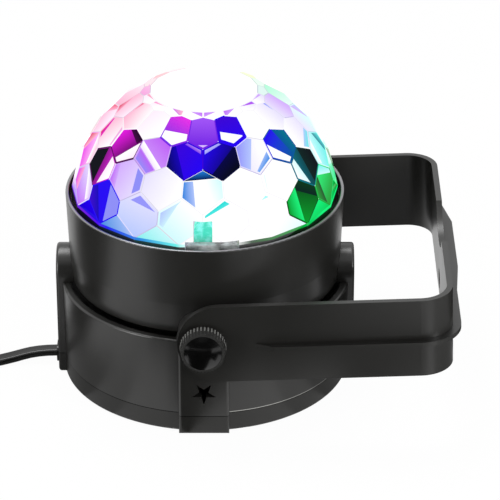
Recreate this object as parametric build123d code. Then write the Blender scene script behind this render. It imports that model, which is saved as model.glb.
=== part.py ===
from build123d import *
import os
from math import cos, hypot, pi, radians, sin, sqrt, tan

os.makedirs("parts", exist_ok=True)

# A round party light: base, head with four arms, turning faceted dome, strap handle and lead.
# All lengths are millimetres, the floor is z = 0 and the front is -Y.

# Common values
overrun = 1.0
seat_gap = 0.05
running_gap = 0.08

# Base housing and bottom cover
base_radius = 45.0
base_taper = 0.45
base_height = 32.0
rim_width = 2.7
rim_rounding = 0.7
parting_height = 6.8
base_deck_drop = 3.5
base_deck_thickness = 2.0
cover_inset = 0.3
cover_wall = 2.25
cover_floor = 2.0
cover_rounding = 0.8
spigot_wall = 1.3
spigot_height = 2.0
boss_radius = 3.2
boss_wall_gap = 3.1
foot_pad_margin = 3.8
foot_pad_thickness = 1.0
foot_pad_proud = 0.4

# Four upright arms
arm_count = 4
arm_width = 15.3
arm_proud = 1.3
arm_round_rise = 1.5
arm_rounding = 0.9
star_height = 14.6
star_radius = 3.85
star_points = 5
star_inner_share = 0.382

# Screws
cover_screw_radius = 1.3
cover_screw_length = 12.0
cover_screw_head_radius = 2.6
cover_screw_head = 1.1
arm_screw_radius = 1.1
arm_screw_grip = 2.6
arm_screw_head_radius = 2.2
arm_screw_head = 1.4
arm_screw_rise = 5.4
arm_screw_seat = 0.35
deck_screw_radius = 1.2
deck_screw_length = 5.0
deck_screw_head_radius = 2.3
deck_screw_head = 1.5

# Head shell and its closed bottom
head_lift = 1.0
head_gap = 0.9
head_waist_rise = 9.6
head_waist_flare = 0.8
head_rim_rise = 4.05
head_rim_flare = 0.7
head_wall = 1.2
lip_width = 1.1
mouth_depth = 9.0
head_rim_rounding = 0.45
dish_lift = 1.0
dish_thickness = 1.8
neck_radius = 14.0
neck_bore_radius = 7.0
tray_post_radius = 2.6
tray_post_inset = 10.2
tray_post_angles = (-20, 100, 200, 260)

# Tray, rail and drive
motor_clearance = 1.4
tray_thickness = 2.0
rail_margin = 0.7
rail_width = 3.0
rail_height = 2.2
ridge_margin = 1.0
ridge_width = 1.0
ridge_height = 0.9
ring_height = 3.0
ring_rim = 6.2
ring_teeth = 72
pinion_teeth = 12
tooth_rise_share = 0.75
tooth_drop_share = 1.05
tooth_play = 0.45
tooth_taper_share = 0.36
tooth_overlap = 0.2
motor_angle = 60
motor_radius = 9.5
motor_height = 9.0
motor_ear_length = 4.5
motor_ear_thickness = 1.0
motor_screw_radius = 1.1
motor_screw_play = 1.0
motor_screw_head_radius = 1.9
motor_screw_head = 1.2
shaft_radius = 1.5

# Dome
dome_gap = 1.3
dome_wall = 2.25
dome_skirt_inset = 0.3
dome_skirt_height = 3.67
dome_flat_drop = 3.35
dome_flat_wall = 2.0
facet_skirt_depth = 0.5
facet_count = 18
facet_latitudes = (4, 17, 30, 43, 56, 69)

# Light deck
deck_gap = 0.4
deck_margin = 1.85
deck_thickness = 1.5
deck_post_radius = 3.0
deck_post_margin = 10.0
deck_post_angles = (30, 150, 270)
led_board_margin = 8.4
board_thickness = 1.6
led_side = 6.0
led_height = 1.2
led_names = ("red", "green", "blue")
led_angles = (90, 210, 330)
lens_radius = 5.6
lens_spread = 5.4
lens_foot = 1.5
receiver_width = 5.6
receiver_depth = 4.0
receiver_inset = 4.9
receiver_height = 10.42
holder_width = 16.0
holder_depth = 2.2
holder_height = 4.2
holder_offset = 2.7

# Control electronics in the head and mains supply in the base
control_board_margin = 17.2
control_board_depth = 20.0
control_board_lift = 3.0
control_board_gap = 4.4
peg_radius = 1.8
microphone_radius = 3.0
microphone_height = 2.7
microphone_margin = 5.0
power_board_margin = 10.0
power_board_side_margin = 19.0
power_board_lift = 6.0
transformer_start = 2.5
transformer_depth = 18.0
transformer_margin = 1.5
transformer_headroom = 3.5
capacitor_radius = 4.0
capacitor_drop = 2.0
capacitor_offset = 12.0
wire_radius = 1.6
wire_gap = 7.5
wire_offset = 5.0
wire_bend_height = 6.0
wire_bend_radius = 4.0
lead_radius = 1.0
lead_bend_radius = 2.2
lead_reach = 8.0

# Strap handle, at rest tilted up about the knobs' axis
pivot_lift = 0.1
handle_tilt = 2.0
washer_space = 2.0
strap_thickness = 1.8
strap_height = 25.4
strap_length = 74.8
strap_corner_radius = 10.0
strap_end_centre = 5.0
ledge_start = 15.4
ledge_full = 21.0
ledge_reach = 2.5
ledge_thickness = 1.4
ledge_middle_reach = 3.7
ledge_middle_front = -5.0
ledge_middle_back = 25.0
ledge_end = 43.0
scoop_radius = 17.0
scoop_depth = 7.2
scoop_offset = 1.3
hang_hole_radius = 3.25
hang_hole_drop = 6.9
stud_hole_radius = 2.15
washer_radius = 8.0

# Knobs, their studs and inserts
stud_radius = 1.95
insert_bore_radius = 2.0
insert_radius = 2.8
insert_length = 3.6
collar_radius = 6.0
collar_height = 1.25
knurl_back_radius = 7.0
knurl_front_radius = 6.55
knurl_height = 3.7
flute_count = 40
flute_radius = 0.34
knob_recess_radius = 5.6
knob_recess_depth = 0.9
socket_floor = 1.0
cap_height = 1.3

# Flat twin lead, its gland, coil and plug
cord_width = 4.8
cord_thickness = 2.4
cord_exit_height = 3.4
gland_length = 20.0
gland_width = 6.8
gland_height = 4.0
gland_tail_width = 5.2
gland_tail_height = 2.8
gland_collar = 0.8
gland_collar_rim = 0.7
cord_bend_share = 0.45
cord_route = [
    (-47.1, 0.0, 3.4),
    (-53.5, 0.0, 3.4),
    (-62.5, -1.4, 1.2),
    (-72.5, -5.7, 1.2),
    (-85.5, -10.7, 1.2),
    (-100.8, -14.4, 1.2),
    (-116.2, -14.4, 1.2),
]
coil_inner_radius = 20.2
coil_pitch = 5.5
coil_layer_pitch = 2.9
coil_inward_turns = 3.0
coil_step_turns = 0.5
coil_step_share = 1.5
coil_outward_turns = 1.5
heading_turn_share = 0.001
tail_run = 22.0
tail_side = 8.5
tail_angle = 40
tie_turn_share = 0.5
tie_thickness = 0.5
tie_width = 6.0
tie_gap = 0.5
plug_width = 22.0
plug_thickness = 12.0
plug_length = 24.0
plug_face_depth = 4.0
plug_tail_width = 6.4
plug_tail_height = 4.0
pin_length = 16.0
pin_width = 6.35
pin_thickness = 1.5
pin_spacing = 12.7

# Base and arms, worked out
base_foot_radius = base_radius - base_taper
cover_radius = base_radius - cover_inset
base_bore_radius = base_radius - rim_width
base_deck_top = base_height - base_deck_drop
base_deck_bottom = base_deck_top - base_deck_thickness
cover_base = foot_pad_proud
cover_floor_top = cover_base + cover_floor
boss_circle = base_bore_radius - boss_wall_gap - boss_radius
foot_pad_radius = boss_circle - boss_radius - foot_pad_margin
arm_reach = base_radius + arm_proud
arm_round_centre = base_height + arm_round_rise

# The head and what stands in it, worked out from the bottom up
head_bottom_height = base_height + head_lift
head_waist_height = head_bottom_height + head_waist_rise
head_bottom_radius = base_bore_radius - head_gap
head_waist_radius = head_bottom_radius + head_waist_flare
head_rim_radius = head_waist_radius + head_rim_flare
mouth_radius = head_rim_radius - lip_width
arm_screw_height = head_bottom_height + arm_screw_rise
dish_bottom = head_bottom_height + dish_lift
dish_top = dish_bottom + dish_thickness
tray_post_circle = head_bottom_radius - head_wall - tray_post_inset
tray_height = dish_top + motor_clearance + motor_height
tray_top = tray_height + tray_thickness
rail_top = tray_top + rail_height
ring_bottom = rail_top + running_gap
ring_top = ring_bottom + ring_height
dome_centre_height = ring_top + dome_skirt_height
head_rim_height = dome_centre_height + head_rim_rise
dome_tangent_radius = mouth_radius - dome_gap
dome_inner_radius = dome_tangent_radius - dome_wall
dome_skirt_radius = dome_tangent_radius - dome_skirt_inset
dome_flat_height = dome_centre_height + dome_tangent_radius - dome_flat_drop

# The dome's drive and the light deck, worked out
ring_outer_radius = dome_skirt_radius
rail_outer_radius = ring_outer_radius - rail_margin
rail_inner_radius = rail_outer_radius - rail_width
ridge_outer_radius = rail_outer_radius - ridge_margin
ridge_inner_radius = ridge_outer_radius - ridge_width
gear_pitch_radius = ring_outer_radius - ring_rim
gear_module = 2 * gear_pitch_radius / ring_teeth
pinion_pitch_radius = gear_module * pinion_teeth / 2
motor_circle = gear_pitch_radius - pinion_pitch_radius
motor_ear_reach = motor_radius + motor_ear_length
deck_bottom = ring_top + deck_gap
deck_top = deck_bottom + deck_thickness
deck_radius = dome_inner_radius - deck_margin
led_board_top = deck_top + board_thickness
led_board_radius = deck_radius - led_board_margin
deck_post_circle = led_board_radius - deck_post_margin
led_circle = lens_radius + lens_spread
receiver_reach = deck_radius - receiver_inset
receiver_top = deck_top + receiver_height

# The boards, worked out from the room that they stand in
control_board_bottom = dish_top + control_board_lift
control_board_top = control_board_bottom + board_thickness
control_board_width = 2 * (head_bottom_radius - head_wall - control_board_margin)
control_board_reach = tray_post_circle - tray_post_radius - control_board_gap - control_board_depth / 2
microphone_offset = control_board_width / 2 - microphone_radius - microphone_margin
power_board_bottom = cover_floor_top + power_board_lift
power_board_top = power_board_bottom + board_thickness
power_board_width = 2 * (boss_circle - power_board_margin)
power_board_depth = 2 * (boss_circle - power_board_side_margin)
transformer_height = base_deck_bottom - transformer_headroom - power_board_top
transformer_width = power_board_width / 2 - transformer_margin - transformer_start
transformer_offset = transformer_start + transformer_width / 2
capacitor_height = transformer_height - capacitor_drop
wire_root = transformer_start - wire_gap

# The handle, knobs and coil, worked out
pivot_height = arm_round_centre + pivot_lift
strap_inner_reach = arm_reach + washer_space
strap_outer_reach = strap_inner_reach + strap_thickness
coil_turns = coil_inward_turns + coil_step_turns + coil_outward_turns
coil_outer_radius = coil_inner_radius + coil_pitch * coil_inward_turns
coil_centre = (cord_route[-1][0] - cord_width, cord_route[-1][1] + coil_outer_radius)


def head_outer_radius(height):
    """Outer radius of the head at a height."""
    if height < head_waist_height:
        rise = (height - head_bottom_height) / (head_waist_height - head_bottom_height)
        return head_bottom_radius + rise * (head_waist_radius - head_bottom_radius)
    rise = (height - head_waist_height) / (head_rim_height - head_waist_height)
    return head_waist_radius + rise * (head_rim_radius - head_waist_radius)


def head_inner_radius(height):
    """Inner radius of the head at a height below its mouth."""
    return head_outer_radius(height) - head_wall


def turned(points):
    """A solid of revolution about the upright axis, from (radius, height) points."""
    outline = Polyline(*[(radius, 0, height) for radius, height in points], close=True)
    return revolve(make_face(outline), Axis.Z)


def disc(radius, bottom, top, bore=0):
    """A round plate, with a hole if a bore is given."""
    plate = Pos(0, 0, bottom) * extrude(Circle(radius), top - bottom)
    if bore:
        plate -= Pos(0, 0, bottom - overrun) * extrude(Circle(bore), top - bottom + 2 * overrun)
    return plate


def block(width, depth, bottom, top, centre=(0, 0)):
    """An upright box."""
    return Pos(centre[0], centre[1], bottom) * extrude(Rectangle(width, depth), top - bottom)


def polar(radius, angle):
    """A place in the plan."""
    return radius * cos(radians(angle)), radius * sin(radians(angle))


def upright_pin(radius, bottom, top, place):
    """A round pin or hole standing at a place in the plan."""
    return Pos(place[0], place[1], 0) * disc(radius, bottom, top)


def screw(shank_radius, shank_length, head_radius, head_height):
    """A pan head screw that points up, with its head's underside at zero and a cross slot."""
    body = disc(head_radius, -head_height, 0)
    body = chamfer(body.edges().group_by(Axis.Z)[0], head_height / 4)
    body += disc(shank_radius, 0, shank_length)
    slot = block(head_radius, shank_radius / 2, -head_height - overrun, -head_height / 2)
    return body - slot - Rot(0, 0, 90) * slot


def star():
    """A five-pointed star with one tip down, in the plane of an arm."""
    points = []
    for k in range(2 * star_points):
        reach = star_radius * (star_inner_share if k % 2 else 1)
        angle = -pi / 2 + k * pi / star_points
        points.append((reach * cos(angle), reach * sin(angle)))
    return make_face(Polyline(*points, close=True))


def arm():
    """One whole arm on the +X side, from its foot to its half-round top."""
    half = arm_width / 2
    upright = arm_round_centre - cover_base
    outline = Pos(0, cover_base + upright / 2) * Rectangle(arm_width, upright)
    outline += Pos(0, arm_round_centre) * Circle(half)
    root = head_bottom_radius - cover_wall
    body = extrude(Plane.YZ.offset(root) * outline, arm_reach - root)
    body = fillet(body.faces().sort_by(Axis.X)[-1].edges(), arm_rounding)
    # The arm's inner end follows the base's bore below the rim and the head's wall above it
    body -= disc(base_bore_radius, cover_base - overrun, base_height)
    top = arm_round_centre + arm_width
    return body - turned(
        [
            (0, base_height - overrun),
            (head_outer_radius(base_height - overrun) + seat_gap, base_height - overrun),
            (head_outer_radius(head_waist_height) + seat_gap, head_waist_height),
            (head_outer_radius(top) + seat_gap, top),
            (0, top),
        ]
    )


def four(piece, first=0, step=1):
    """A piece on the +X side repeated on the arms' sides."""
    return [Rot(0, 0, 90 * k) * piece for k in range(first, arm_count, step)]


def base_shell():
    """Round housing with its deck, screw bosses, arms and star vents."""
    wall = turned(
        [
            (base_foot_radius, parting_height),
            (base_radius, base_height),
            (base_bore_radius, base_height),
            (base_bore_radius, parting_height),
        ]
    )
    wall = fillet(wall.edges().group_by(Axis.Z)[-1], rim_rounding)
    body = wall + disc(base_bore_radius + overrun, base_deck_bottom, base_deck_top, neck_bore_radius)
    upper_arm = arm() - block(4 * base_radius, 4 * base_radius, cover_base - overrun, parting_height)
    body += four(upper_arm)
    body += [
        upright_pin(boss_radius, parting_height, base_deck_top, polar(boss_circle, 45 + 90 * k))
        for k in range(4)
    ]
    body -= [
        upright_pin(
            cover_screw_radius + seat_gap,
            parting_height - overrun,
            cover_floor_top + cover_screw_length + overrun,
            polar(boss_circle, 45 + 90 * k),
        )
        for k in range(4)
    ]
    vent_root = base_bore_radius - overrun
    vent = Plane.YZ.offset(vent_root) * Pos(0, star_height) * star()
    body -= four(extrude(vent, arm_reach - vent_root + overrun))
    pilot = Plane.YZ * Pos(0, arm_screw_height) * Circle(arm_screw_radius + seat_gap)
    pilot_end = head_outer_radius(arm_screw_height) + arm_screw_grip + seat_gap
    body -= four(extrude(pilot, pilot_end))
    bore = Plane.YZ * Pos(0, pivot_height) * Circle(insert_radius + seat_gap)
    body -= four(extrude(bore, arm_reach + overrun), first=1, step=2)
    return body


def gland_blank(width, height, reach):
    """A flat-oval prism along X at the lead's height, from the left arm's face inwards."""
    start = -arm_reach - overrun
    section = Plane(origin=(start, 0, cord_exit_height), x_dir=(0, 1, 0), z_dir=(1, 0, 0))
    return extrude(section * SlotOverall(width, height), reach + 2 * overrun)


def bottom_cover():
    """Cover under the parting line, with the arms' feet, board pegs and pad recess."""
    body = turned(
        [
            (0, cover_base),
            (cover_radius, cover_base),
            (base_foot_radius, parting_height),
            (base_foot_radius - cover_wall, parting_height),
            (base_foot_radius - cover_wall, cover_floor_top),
            (0, cover_floor_top),
        ]
    )
    body = fillet(body.edges().group_by(Axis.Z)[0], cover_rounding)
    top = arm_round_centre + arm_width
    body += four(arm() - block(4 * base_radius, 4 * base_radius, parting_height, top))
    spigot_outer = base_bore_radius - seat_gap
    body += disc(
        spigot_outer, cover_floor_top, parting_height + spigot_height, spigot_outer - spigot_wall
    )
    places = [polar(boss_circle, 45 + 90 * k) for k in range(4)]
    body += [upright_pin(boss_radius, cover_floor_top, parting_height, place) for place in places]
    body += [
        upright_pin(peg_radius, cover_floor_top, power_board_bottom, place)
        for place in power_board_corners()
    ]
    body -= disc(foot_pad_radius + seat_gap, cover_base - overrun, foot_pad_thickness)
    for place in places:
        body -= upright_pin(
            cover_screw_radius + seat_gap, cover_base - overrun, parting_height + overrun, place
        )
        body -= upright_pin(
            cover_screw_head_radius + seat_gap,
            cover_base - overrun,
            cover_base + cover_screw_head,
            place,
        )
    return body - gland_blank(gland_width + 2 * seat_gap, gland_height + 2 * seat_gap, gland_length)


def power_board_corners():
    """Peg places under the power board."""
    half_width = power_board_width / 2 - 2 * peg_radius
    half_depth = power_board_depth / 2 - 2 * peg_radius
    return [(x, y) for x in (-half_width, half_width) for y in (-half_depth, half_depth)]


def cover_screw(k):
    """A cover screw with its head in the cover's recess."""
    x, y = polar(boss_circle, 45 + 90 * k)
    body = screw(
        cover_screw_radius, cover_screw_length, cover_screw_head_radius, cover_screw_head - seat_gap
    )
    return Pos(x, y, cover_base + cover_screw_head) * body


def arm_screw(k):
    """A screw from inside the head through its wall into an arm."""
    seat = head_inner_radius(arm_screw_height) - arm_screw_seat
    length = arm_screw_seat + head_wall + arm_screw_grip
    body = screw(arm_screw_radius, length, arm_screw_head_radius, arm_screw_head)
    return Rot(0, 0, 90 * k) * Pos(seat, 0, arm_screw_height) * Rot(0, 90, 0) * body


def power_board():
    """Mains supply board on the cover's pegs."""
    return block(power_board_width, power_board_depth, power_board_bottom, power_board_top)


def transformer():
    """Small transformer with a wider wound middle."""
    top = power_board_top + transformer_height
    core = block(
        transformer_width, transformer_depth * 2 / 3, power_board_top, top, (transformer_offset, 0)
    )
    winding_bottom = power_board_top + transformer_height / 5
    winding = block(
        transformer_width * 2 / 3,
        transformer_depth,
        winding_bottom,
        top - transformer_height / 5,
        (transformer_offset, 0),
    )
    return core + winding


def capacitor():
    """Electrolytic capacitor on the power board."""
    place = (-capacitor_offset, capacitor_offset / 2)
    body = upright_pin(capacitor_radius, power_board_top, power_board_top + capacitor_height, place)
    return chamfer(body.edges().group_by(Axis.Z)[-1], capacitor_radius / 8)


def round_lead(points, radius, bend):
    """A round wire along straight runs joined by arcs."""
    path = FilletPolyline(*points, radius=bend)
    section = Plane(origin=path @ 0, z_dir=path % 0) * Circle(radius)
    return sweep(section, path)


def mains_leads():
    """Short lead from the gland's tail up to the power board."""
    start = -arm_reach + gland_length
    corner = start + lead_reach
    points = [
        (start, 0, cord_exit_height),
        (corner, 0, cord_exit_height),
        (corner, 0, power_board_bottom),
    ]
    return round_lead(points, lead_radius, lead_bend_radius)


def wire_bundle():
    """Wires from the power board through the neck to the control board."""
    side = -wire_offset
    points = [
        (wire_root, 0, power_board_top),
        (wire_root, 0, power_board_top + wire_bend_height),
        (0, side, base_deck_top - wire_bend_height / 2),
        (0, side, control_board_bottom),
    ]
    return round_lead(points, wire_radius, wire_bend_radius)


def head_shell():
    """Bowl between the arms, with a thin bright lip at its mouth."""
    mouth_bottom = head_rim_height - mouth_depth
    body = turned(
        [
            (head_bottom_radius, head_bottom_height),
            (head_waist_radius, head_waist_height),
            (head_rim_radius, head_rim_height),
            (mouth_radius, head_rim_height),
            (head_inner_radius(mouth_bottom), mouth_bottom),
            (head_inner_radius(head_waist_height), head_waist_height),
            (head_inner_radius(head_bottom_height), head_bottom_height),
        ]
    )
    body = fillet(body.edges().group_by(Axis.Z)[-1], head_rim_rounding)
    hole = Plane.YZ * Pos(0, arm_screw_height) * Circle(arm_screw_radius + seat_gap)
    return body - four(extrude(hole, head_rim_radius + overrun))


def head_bottom():
    """Dish that closes the bowl, with the neck on the base's deck and the tray's posts."""
    body = turned(
        [
            (neck_bore_radius, base_deck_top),
            (neck_radius, base_deck_top),
            (neck_radius, dish_bottom),
            (head_inner_radius(dish_bottom) - seat_gap, dish_bottom),
            (head_inner_radius(dish_bottom) - seat_gap, dish_top),
            (neck_bore_radius, dish_top),
        ]
    )
    posts = [
        upright_pin(tray_post_radius, dish_bottom, tray_height, polar(tray_post_circle, angle))
        for angle in tray_post_angles
    ]
    pegs = [
        upright_pin(peg_radius, dish_bottom, control_board_bottom, place)
        for place in control_board_pegs()
    ]
    return body + posts + pegs


def control_board_pegs():
    """Peg places under the control board."""
    half = control_board_width / 2 - 2 * peg_radius
    return [(x, -control_board_reach) for x in (-half, half)]


def head_tray():
    """Plate that carries the dome's rail, the motor and the light deck's posts."""
    rim = head_inner_radius(tray_height) - seat_gap
    body = disc(rim, tray_height, tray_top)
    body += disc(rail_outer_radius, tray_height, rail_top, rail_inner_radius)
    body += disc(ridge_outer_radius, tray_height, rail_top + ridge_height, ridge_inner_radius)
    for angle in deck_post_angles:
        place = polar(deck_post_circle, angle)
        body += upright_pin(deck_post_radius, tray_height, deck_bottom, place)
        screw_end = deck_top - deck_screw_length - overrun
        body -= upright_pin(deck_screw_radius + seat_gap, screw_end, deck_top, place)
    place = polar(motor_circle, motor_angle)
    body -= upright_pin(shaft_radius + running_gap, tray_height - overrun, tray_top + overrun, place)
    for place in motor_screw_places():
        body -= upright_pin(
            motor_screw_radius + seat_gap, tray_height - overrun, tray_top + overrun, place
        )
    return body


def motor_screw_places():
    """The motor's two ears, square to the line from the dome's axis."""
    x, y = polar(motor_circle, motor_angle)
    across = [polar(motor_ear_reach - motor_screw_head_radius, motor_angle + turn) for turn in (90, -90)]
    return [(x + dx, y + dy) for dx, dy in across]


def spin_motor():
    """Slow geared motor under the tray, with two ears and a shaft bore."""
    x, y = polar(motor_circle, motor_angle)
    top = tray_height - seat_gap
    body = disc(motor_radius, top - motor_height, top)
    ears = Pos(0, 0, top - motor_ear_thickness) * extrude(
        SlotOverall(2 * motor_ear_reach, 2 * motor_screw_head_radius), motor_ear_thickness
    )
    body = Pos(x, y, 0) * Rot(0, 0, motor_angle + 90) * (body + ears)
    bore_bottom = top - motor_height / 2
    body -= upright_pin(shaft_radius + running_gap, bore_bottom, top + overrun, (x, y))
    for place in motor_screw_places():
        body -= upright_pin(
            motor_screw_radius + seat_gap, top - motor_height / 3, top + overrun, place
        )
    return body


def motor_screw(k):
    """A screw up through a motor ear into the tray."""
    x, y = motor_screw_places()[k]
    seat = tray_height - seat_gap - motor_ear_thickness - seat_gap
    body = screw(
        motor_screw_radius,
        motor_ear_thickness + tray_thickness - motor_screw_play,
        motor_screw_head_radius,
        motor_screw_head,
    )
    return Pos(x, y, seat) * body


def toothed(pitch_radius, teeth, root_radius, tip_radius, first):
    """Teeth on a pitch circle, as one sketch, each a trapezium from its root to its tip."""
    half_pitch = pi * gear_module / 4
    slope = (tip_radius - root_radius) * tooth_taper_share
    root_half = half_pitch - tooth_play / 2 + abs(root_radius - pitch_radius) * tooth_taper_share
    tip_half = root_half - abs(slope)
    outline = make_face(
        Polyline(
            (root_radius, -root_half),
            (tip_radius, -tip_half),
            (tip_radius, tip_half),
            (root_radius, root_half),
            close=True,
        )
    )
    return [Rot(0, 0, first + 360 * k / teeth) * outline for k in range(teeth)]


def dome_ring():
    """Ring with the internal gear, and a groove that runs on the rail's ridge."""
    root = gear_pitch_radius + tooth_drop_share * gear_module
    tip = gear_pitch_radius - tooth_rise_share * gear_module
    sketch = Circle(ring_outer_radius) - Circle(root)
    sketch += toothed(gear_pitch_radius, ring_teeth, root + tooth_overlap, tip, motor_angle)
    body = Pos(0, 0, ring_bottom) * extrude(sketch, ring_height)
    return body - disc(
        ridge_outer_radius + running_gap,
        ring_bottom - overrun,
        ring_bottom + ridge_height + running_gap,
        ridge_inner_radius - running_gap,
    )


def pinion():
    """Pinion on the motor's shaft, a gap of its teeth facing the ring's tooth."""
    root = pinion_pitch_radius - tooth_drop_share * gear_module
    tip = pinion_pitch_radius + tooth_rise_share * gear_module
    first = motor_angle + 180 / pinion_teeth
    sketch = Circle(root)
    sketch += toothed(pinion_pitch_radius, pinion_teeth, root - tooth_overlap, tip, first)
    sketch -= Circle(shaft_radius + seat_gap)
    x, y = polar(motor_circle, motor_angle)
    bottom = ring_bottom + running_gap
    return Pos(x, y, bottom) * extrude(sketch, ring_height - 2 * running_gap)


def motor_shaft():
    """The motor's output shaft."""
    bottom = tray_height - motor_height / 2 + running_gap
    return upright_pin(shaft_radius, bottom, ring_top, polar(motor_circle, motor_angle))


def facet_corner(latitude, neighbour):
    """(radius, height) where a facet meets two neighbours that stand half a step to each side."""
    step = cos(pi / facet_count)
    a, b = radians(latitude), radians(neighbour)
    # The facet's plane is met straight on and the neighbours' planes at half a step
    det = cos(a) * sin(b) - sin(a) * cos(b) * step
    radius = dome_tangent_radius * (sin(b) - sin(a)) / det
    height = dome_tangent_radius * (cos(a) - cos(b) * step) / det
    return radius, height


def facet_end(latitude, height):
    """Radius where two facets of one row meet at a height."""
    a = radians(latitude)
    return (dome_tangent_radius - height * sin(a)) / (cos(a) * cos(pi / facet_count))


def ring_point(radius, height, steps):
    """A corner of the dome, at a count of half steps round from the front."""
    angle = -pi / 2 + steps * pi / facet_count
    return radius * cos(angle), radius * sin(angle), dome_centre_height + height


def faceted_ball():
    """The dome's outside as one solid of flat facets in staggered rows."""
    rows = facet_latitudes
    top = dome_flat_height - dome_centre_height
    bottom = -facet_skirt_depth
    # The corners between rows, each as (radius, height)
    tips_up = [facet_corner(a, b) for a, b in zip(rows, rows[1:])]
    tips_down = [facet_corner(b, a) for a, b in zip(rows, rows[1:])]
    faces = []
    for row, latitude in enumerate(rows):
        # Rows 4, 30 and 56 degrees face the front, the others stand half a step round
        first = row % 2
        for k in range(facet_count):
            middle = first + 2 * k
            if row:
                lower = [
                    ring_point(*tips_up[row - 1], middle - 1),
                    ring_point(*tips_down[row - 1], middle),
                    ring_point(*tips_up[row - 1], middle + 1),
                ]
            else:
                end = facet_end(latitude, bottom)
                lower = [ring_point(end, bottom, middle - 1), ring_point(end, bottom, middle + 1)]
            if row < len(rows) - 1:
                upper = [
                    ring_point(*tips_down[row], middle + 1),
                    ring_point(*tips_up[row], middle),
                    ring_point(*tips_down[row], middle - 1),
                ]
            else:
                end = facet_end(latitude, top)
                upper = [ring_point(end, top, middle + 1), ring_point(end, top, middle - 1)]
            faces.append(Face(Wire.make_polygon(lower + upper)))
    first = (len(rows) - 1) % 2
    for latitude, height, start in ((rows[-1], top, first + 1), (rows[0], bottom, 1)):
        end = facet_end(latitude, height)
        rim = [ring_point(end, height, start + 2 * k) for k in range(facet_count)]
        faces.append(Face(Wire.make_polygon(rim)))
    return Solid(Shell(faces))


def crystal_dome():
    """Clear faceted dome, smooth inside, with a plain skirt that stands on the ring."""
    body = faceted_ball()
    skirt_top = dome_centre_height - facet_skirt_depth
    body += disc(dome_skirt_radius, ring_top, skirt_top)
    hollow = Pos(0, 0, dome_centre_height) * Sphere(dome_inner_radius)
    hollow &= block(
        3 * dome_inner_radius, 3 * dome_inner_radius, dome_centre_height, dome_flat_height - dome_flat_wall
    )
    hollow += disc(dome_inner_radius, ring_top - overrun, dome_centre_height)
    return body - hollow


def deck_plate():
    """Plate over the gear, which also keeps the dome down."""
    body = disc(deck_radius, deck_bottom, deck_top)
    for angle in deck_post_angles:
        body -= upright_pin(
            deck_screw_radius + seat_gap,
            deck_bottom - overrun,
            deck_top + overrun,
            polar(deck_post_circle, angle),
        )
    return body


def deck_screw(k):
    """A screw from above through the light board and plate into a tray post."""
    x, y = polar(deck_post_circle, deck_post_angles[k])
    body = screw(deck_screw_radius, deck_screw_length, deck_screw_head_radius, deck_screw_head)
    return Pos(x, y, led_board_top) * Rot(180, 0, 0) * body


def led_board():
    """Round board under the light emitters."""
    body = disc(led_board_radius, deck_top, led_board_top)
    for angle in deck_post_angles:
        body -= upright_pin(
            deck_screw_radius + seat_gap,
            deck_top - overrun,
            led_board_top + overrun,
            polar(deck_post_circle, angle),
        )
    return body


def led_emitter(k):
    """A square light emitter."""
    place = polar(led_circle, led_angles[k])
    return block(led_side, led_side, led_board_top, led_board_top + led_height, place)


def led_lens(k):
    """A domed lens over an emitter."""
    x, y = polar(led_circle, led_angles[k])
    body = disc(lens_radius, 0, lens_foot + led_height)
    dome = Pos(0, 0, lens_foot + led_height) * Sphere(lens_radius)
    body += dome & block(3 * lens_radius, 3 * lens_radius, 0, 2 * lens_radius)
    body -= block(
        led_side + 2 * seat_gap, led_side + 2 * seat_gap, -overrun, led_height + seat_gap
    )
    return Pos(x, y, led_board_top) * body


def ir_receiver():
    """Upright remote control receiver with a round top."""
    straight = receiver_top - receiver_width / 2
    outline = Pos(0, (deck_top + straight) / 2) * Rectangle(receiver_width, straight - deck_top)
    outline += Pos(0, straight) * Circle(receiver_width / 2)
    body = extrude(Plane.XZ.offset(receiver_reach) * outline, receiver_depth / 2, both=True)
    return fillet(body.faces().sort_by(Axis.Y)[0].edges().sort_by(Axis.Z)[1:], receiver_depth / 8)


def receiver_holder():
    """Pale foot plate in front of the receiver."""
    front = -receiver_reach - receiver_depth / 2 - seat_gap - holder_depth / 2
    half = holder_width / 2
    plate = block(holder_width, holder_depth, deck_top, deck_top + holder_height, (holder_offset, front))
    edges = plate.edges().filter_by(Axis.Y).group_by(Axis.Z)[-1]
    return fillet(edges, half / 8)


def control_board():
    """Sound and colour control board over the head's bottom."""
    return block(
        control_board_width,
        control_board_depth,
        control_board_bottom,
        control_board_top,
        (0, -control_board_reach),
    )


def microphone():
    """Capsule microphone on the control board."""
    place = (microphone_offset, -control_board_reach)
    return upright_pin(
        microphone_radius, control_board_top, control_board_top + microphone_height, place
    )


def foot_pad():
    """Anti-slip disc under the cover."""
    return disc(foot_pad_radius, 0, foot_pad_thickness)


def on_handle(piece):
    """Moves a piece from the handle's own frame, with the pivot at zero, to its rest pose."""
    return Pos(0, 0, pivot_height) * Rot(0, -handle_tilt, 0) * piece


def strap_outline(outer, length, corner):
    """The strap's plan as a face from the arms' back to its end, with two round corners."""
    back = -strap_height
    points = [(back, -outer), (length, -outer), (length, outer), (back, outer)]
    arms = FilletPolyline(*points, radius=corner)
    return make_face(arms + Line(points[-1], points[0]))


def strap_side():
    """The strap's side view, a band with a half-round end."""
    half = strap_height / 2
    reach = strap_length + overrun - strap_end_centre
    band = Pos(strap_end_centre + reach / 2, 0) * Rectangle(reach, strap_height)
    band += Pos(strap_end_centre, 0) * Circle(half)
    return extrude(Plane.XZ * band, strap_outer_reach + overrun, both=True)


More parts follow.
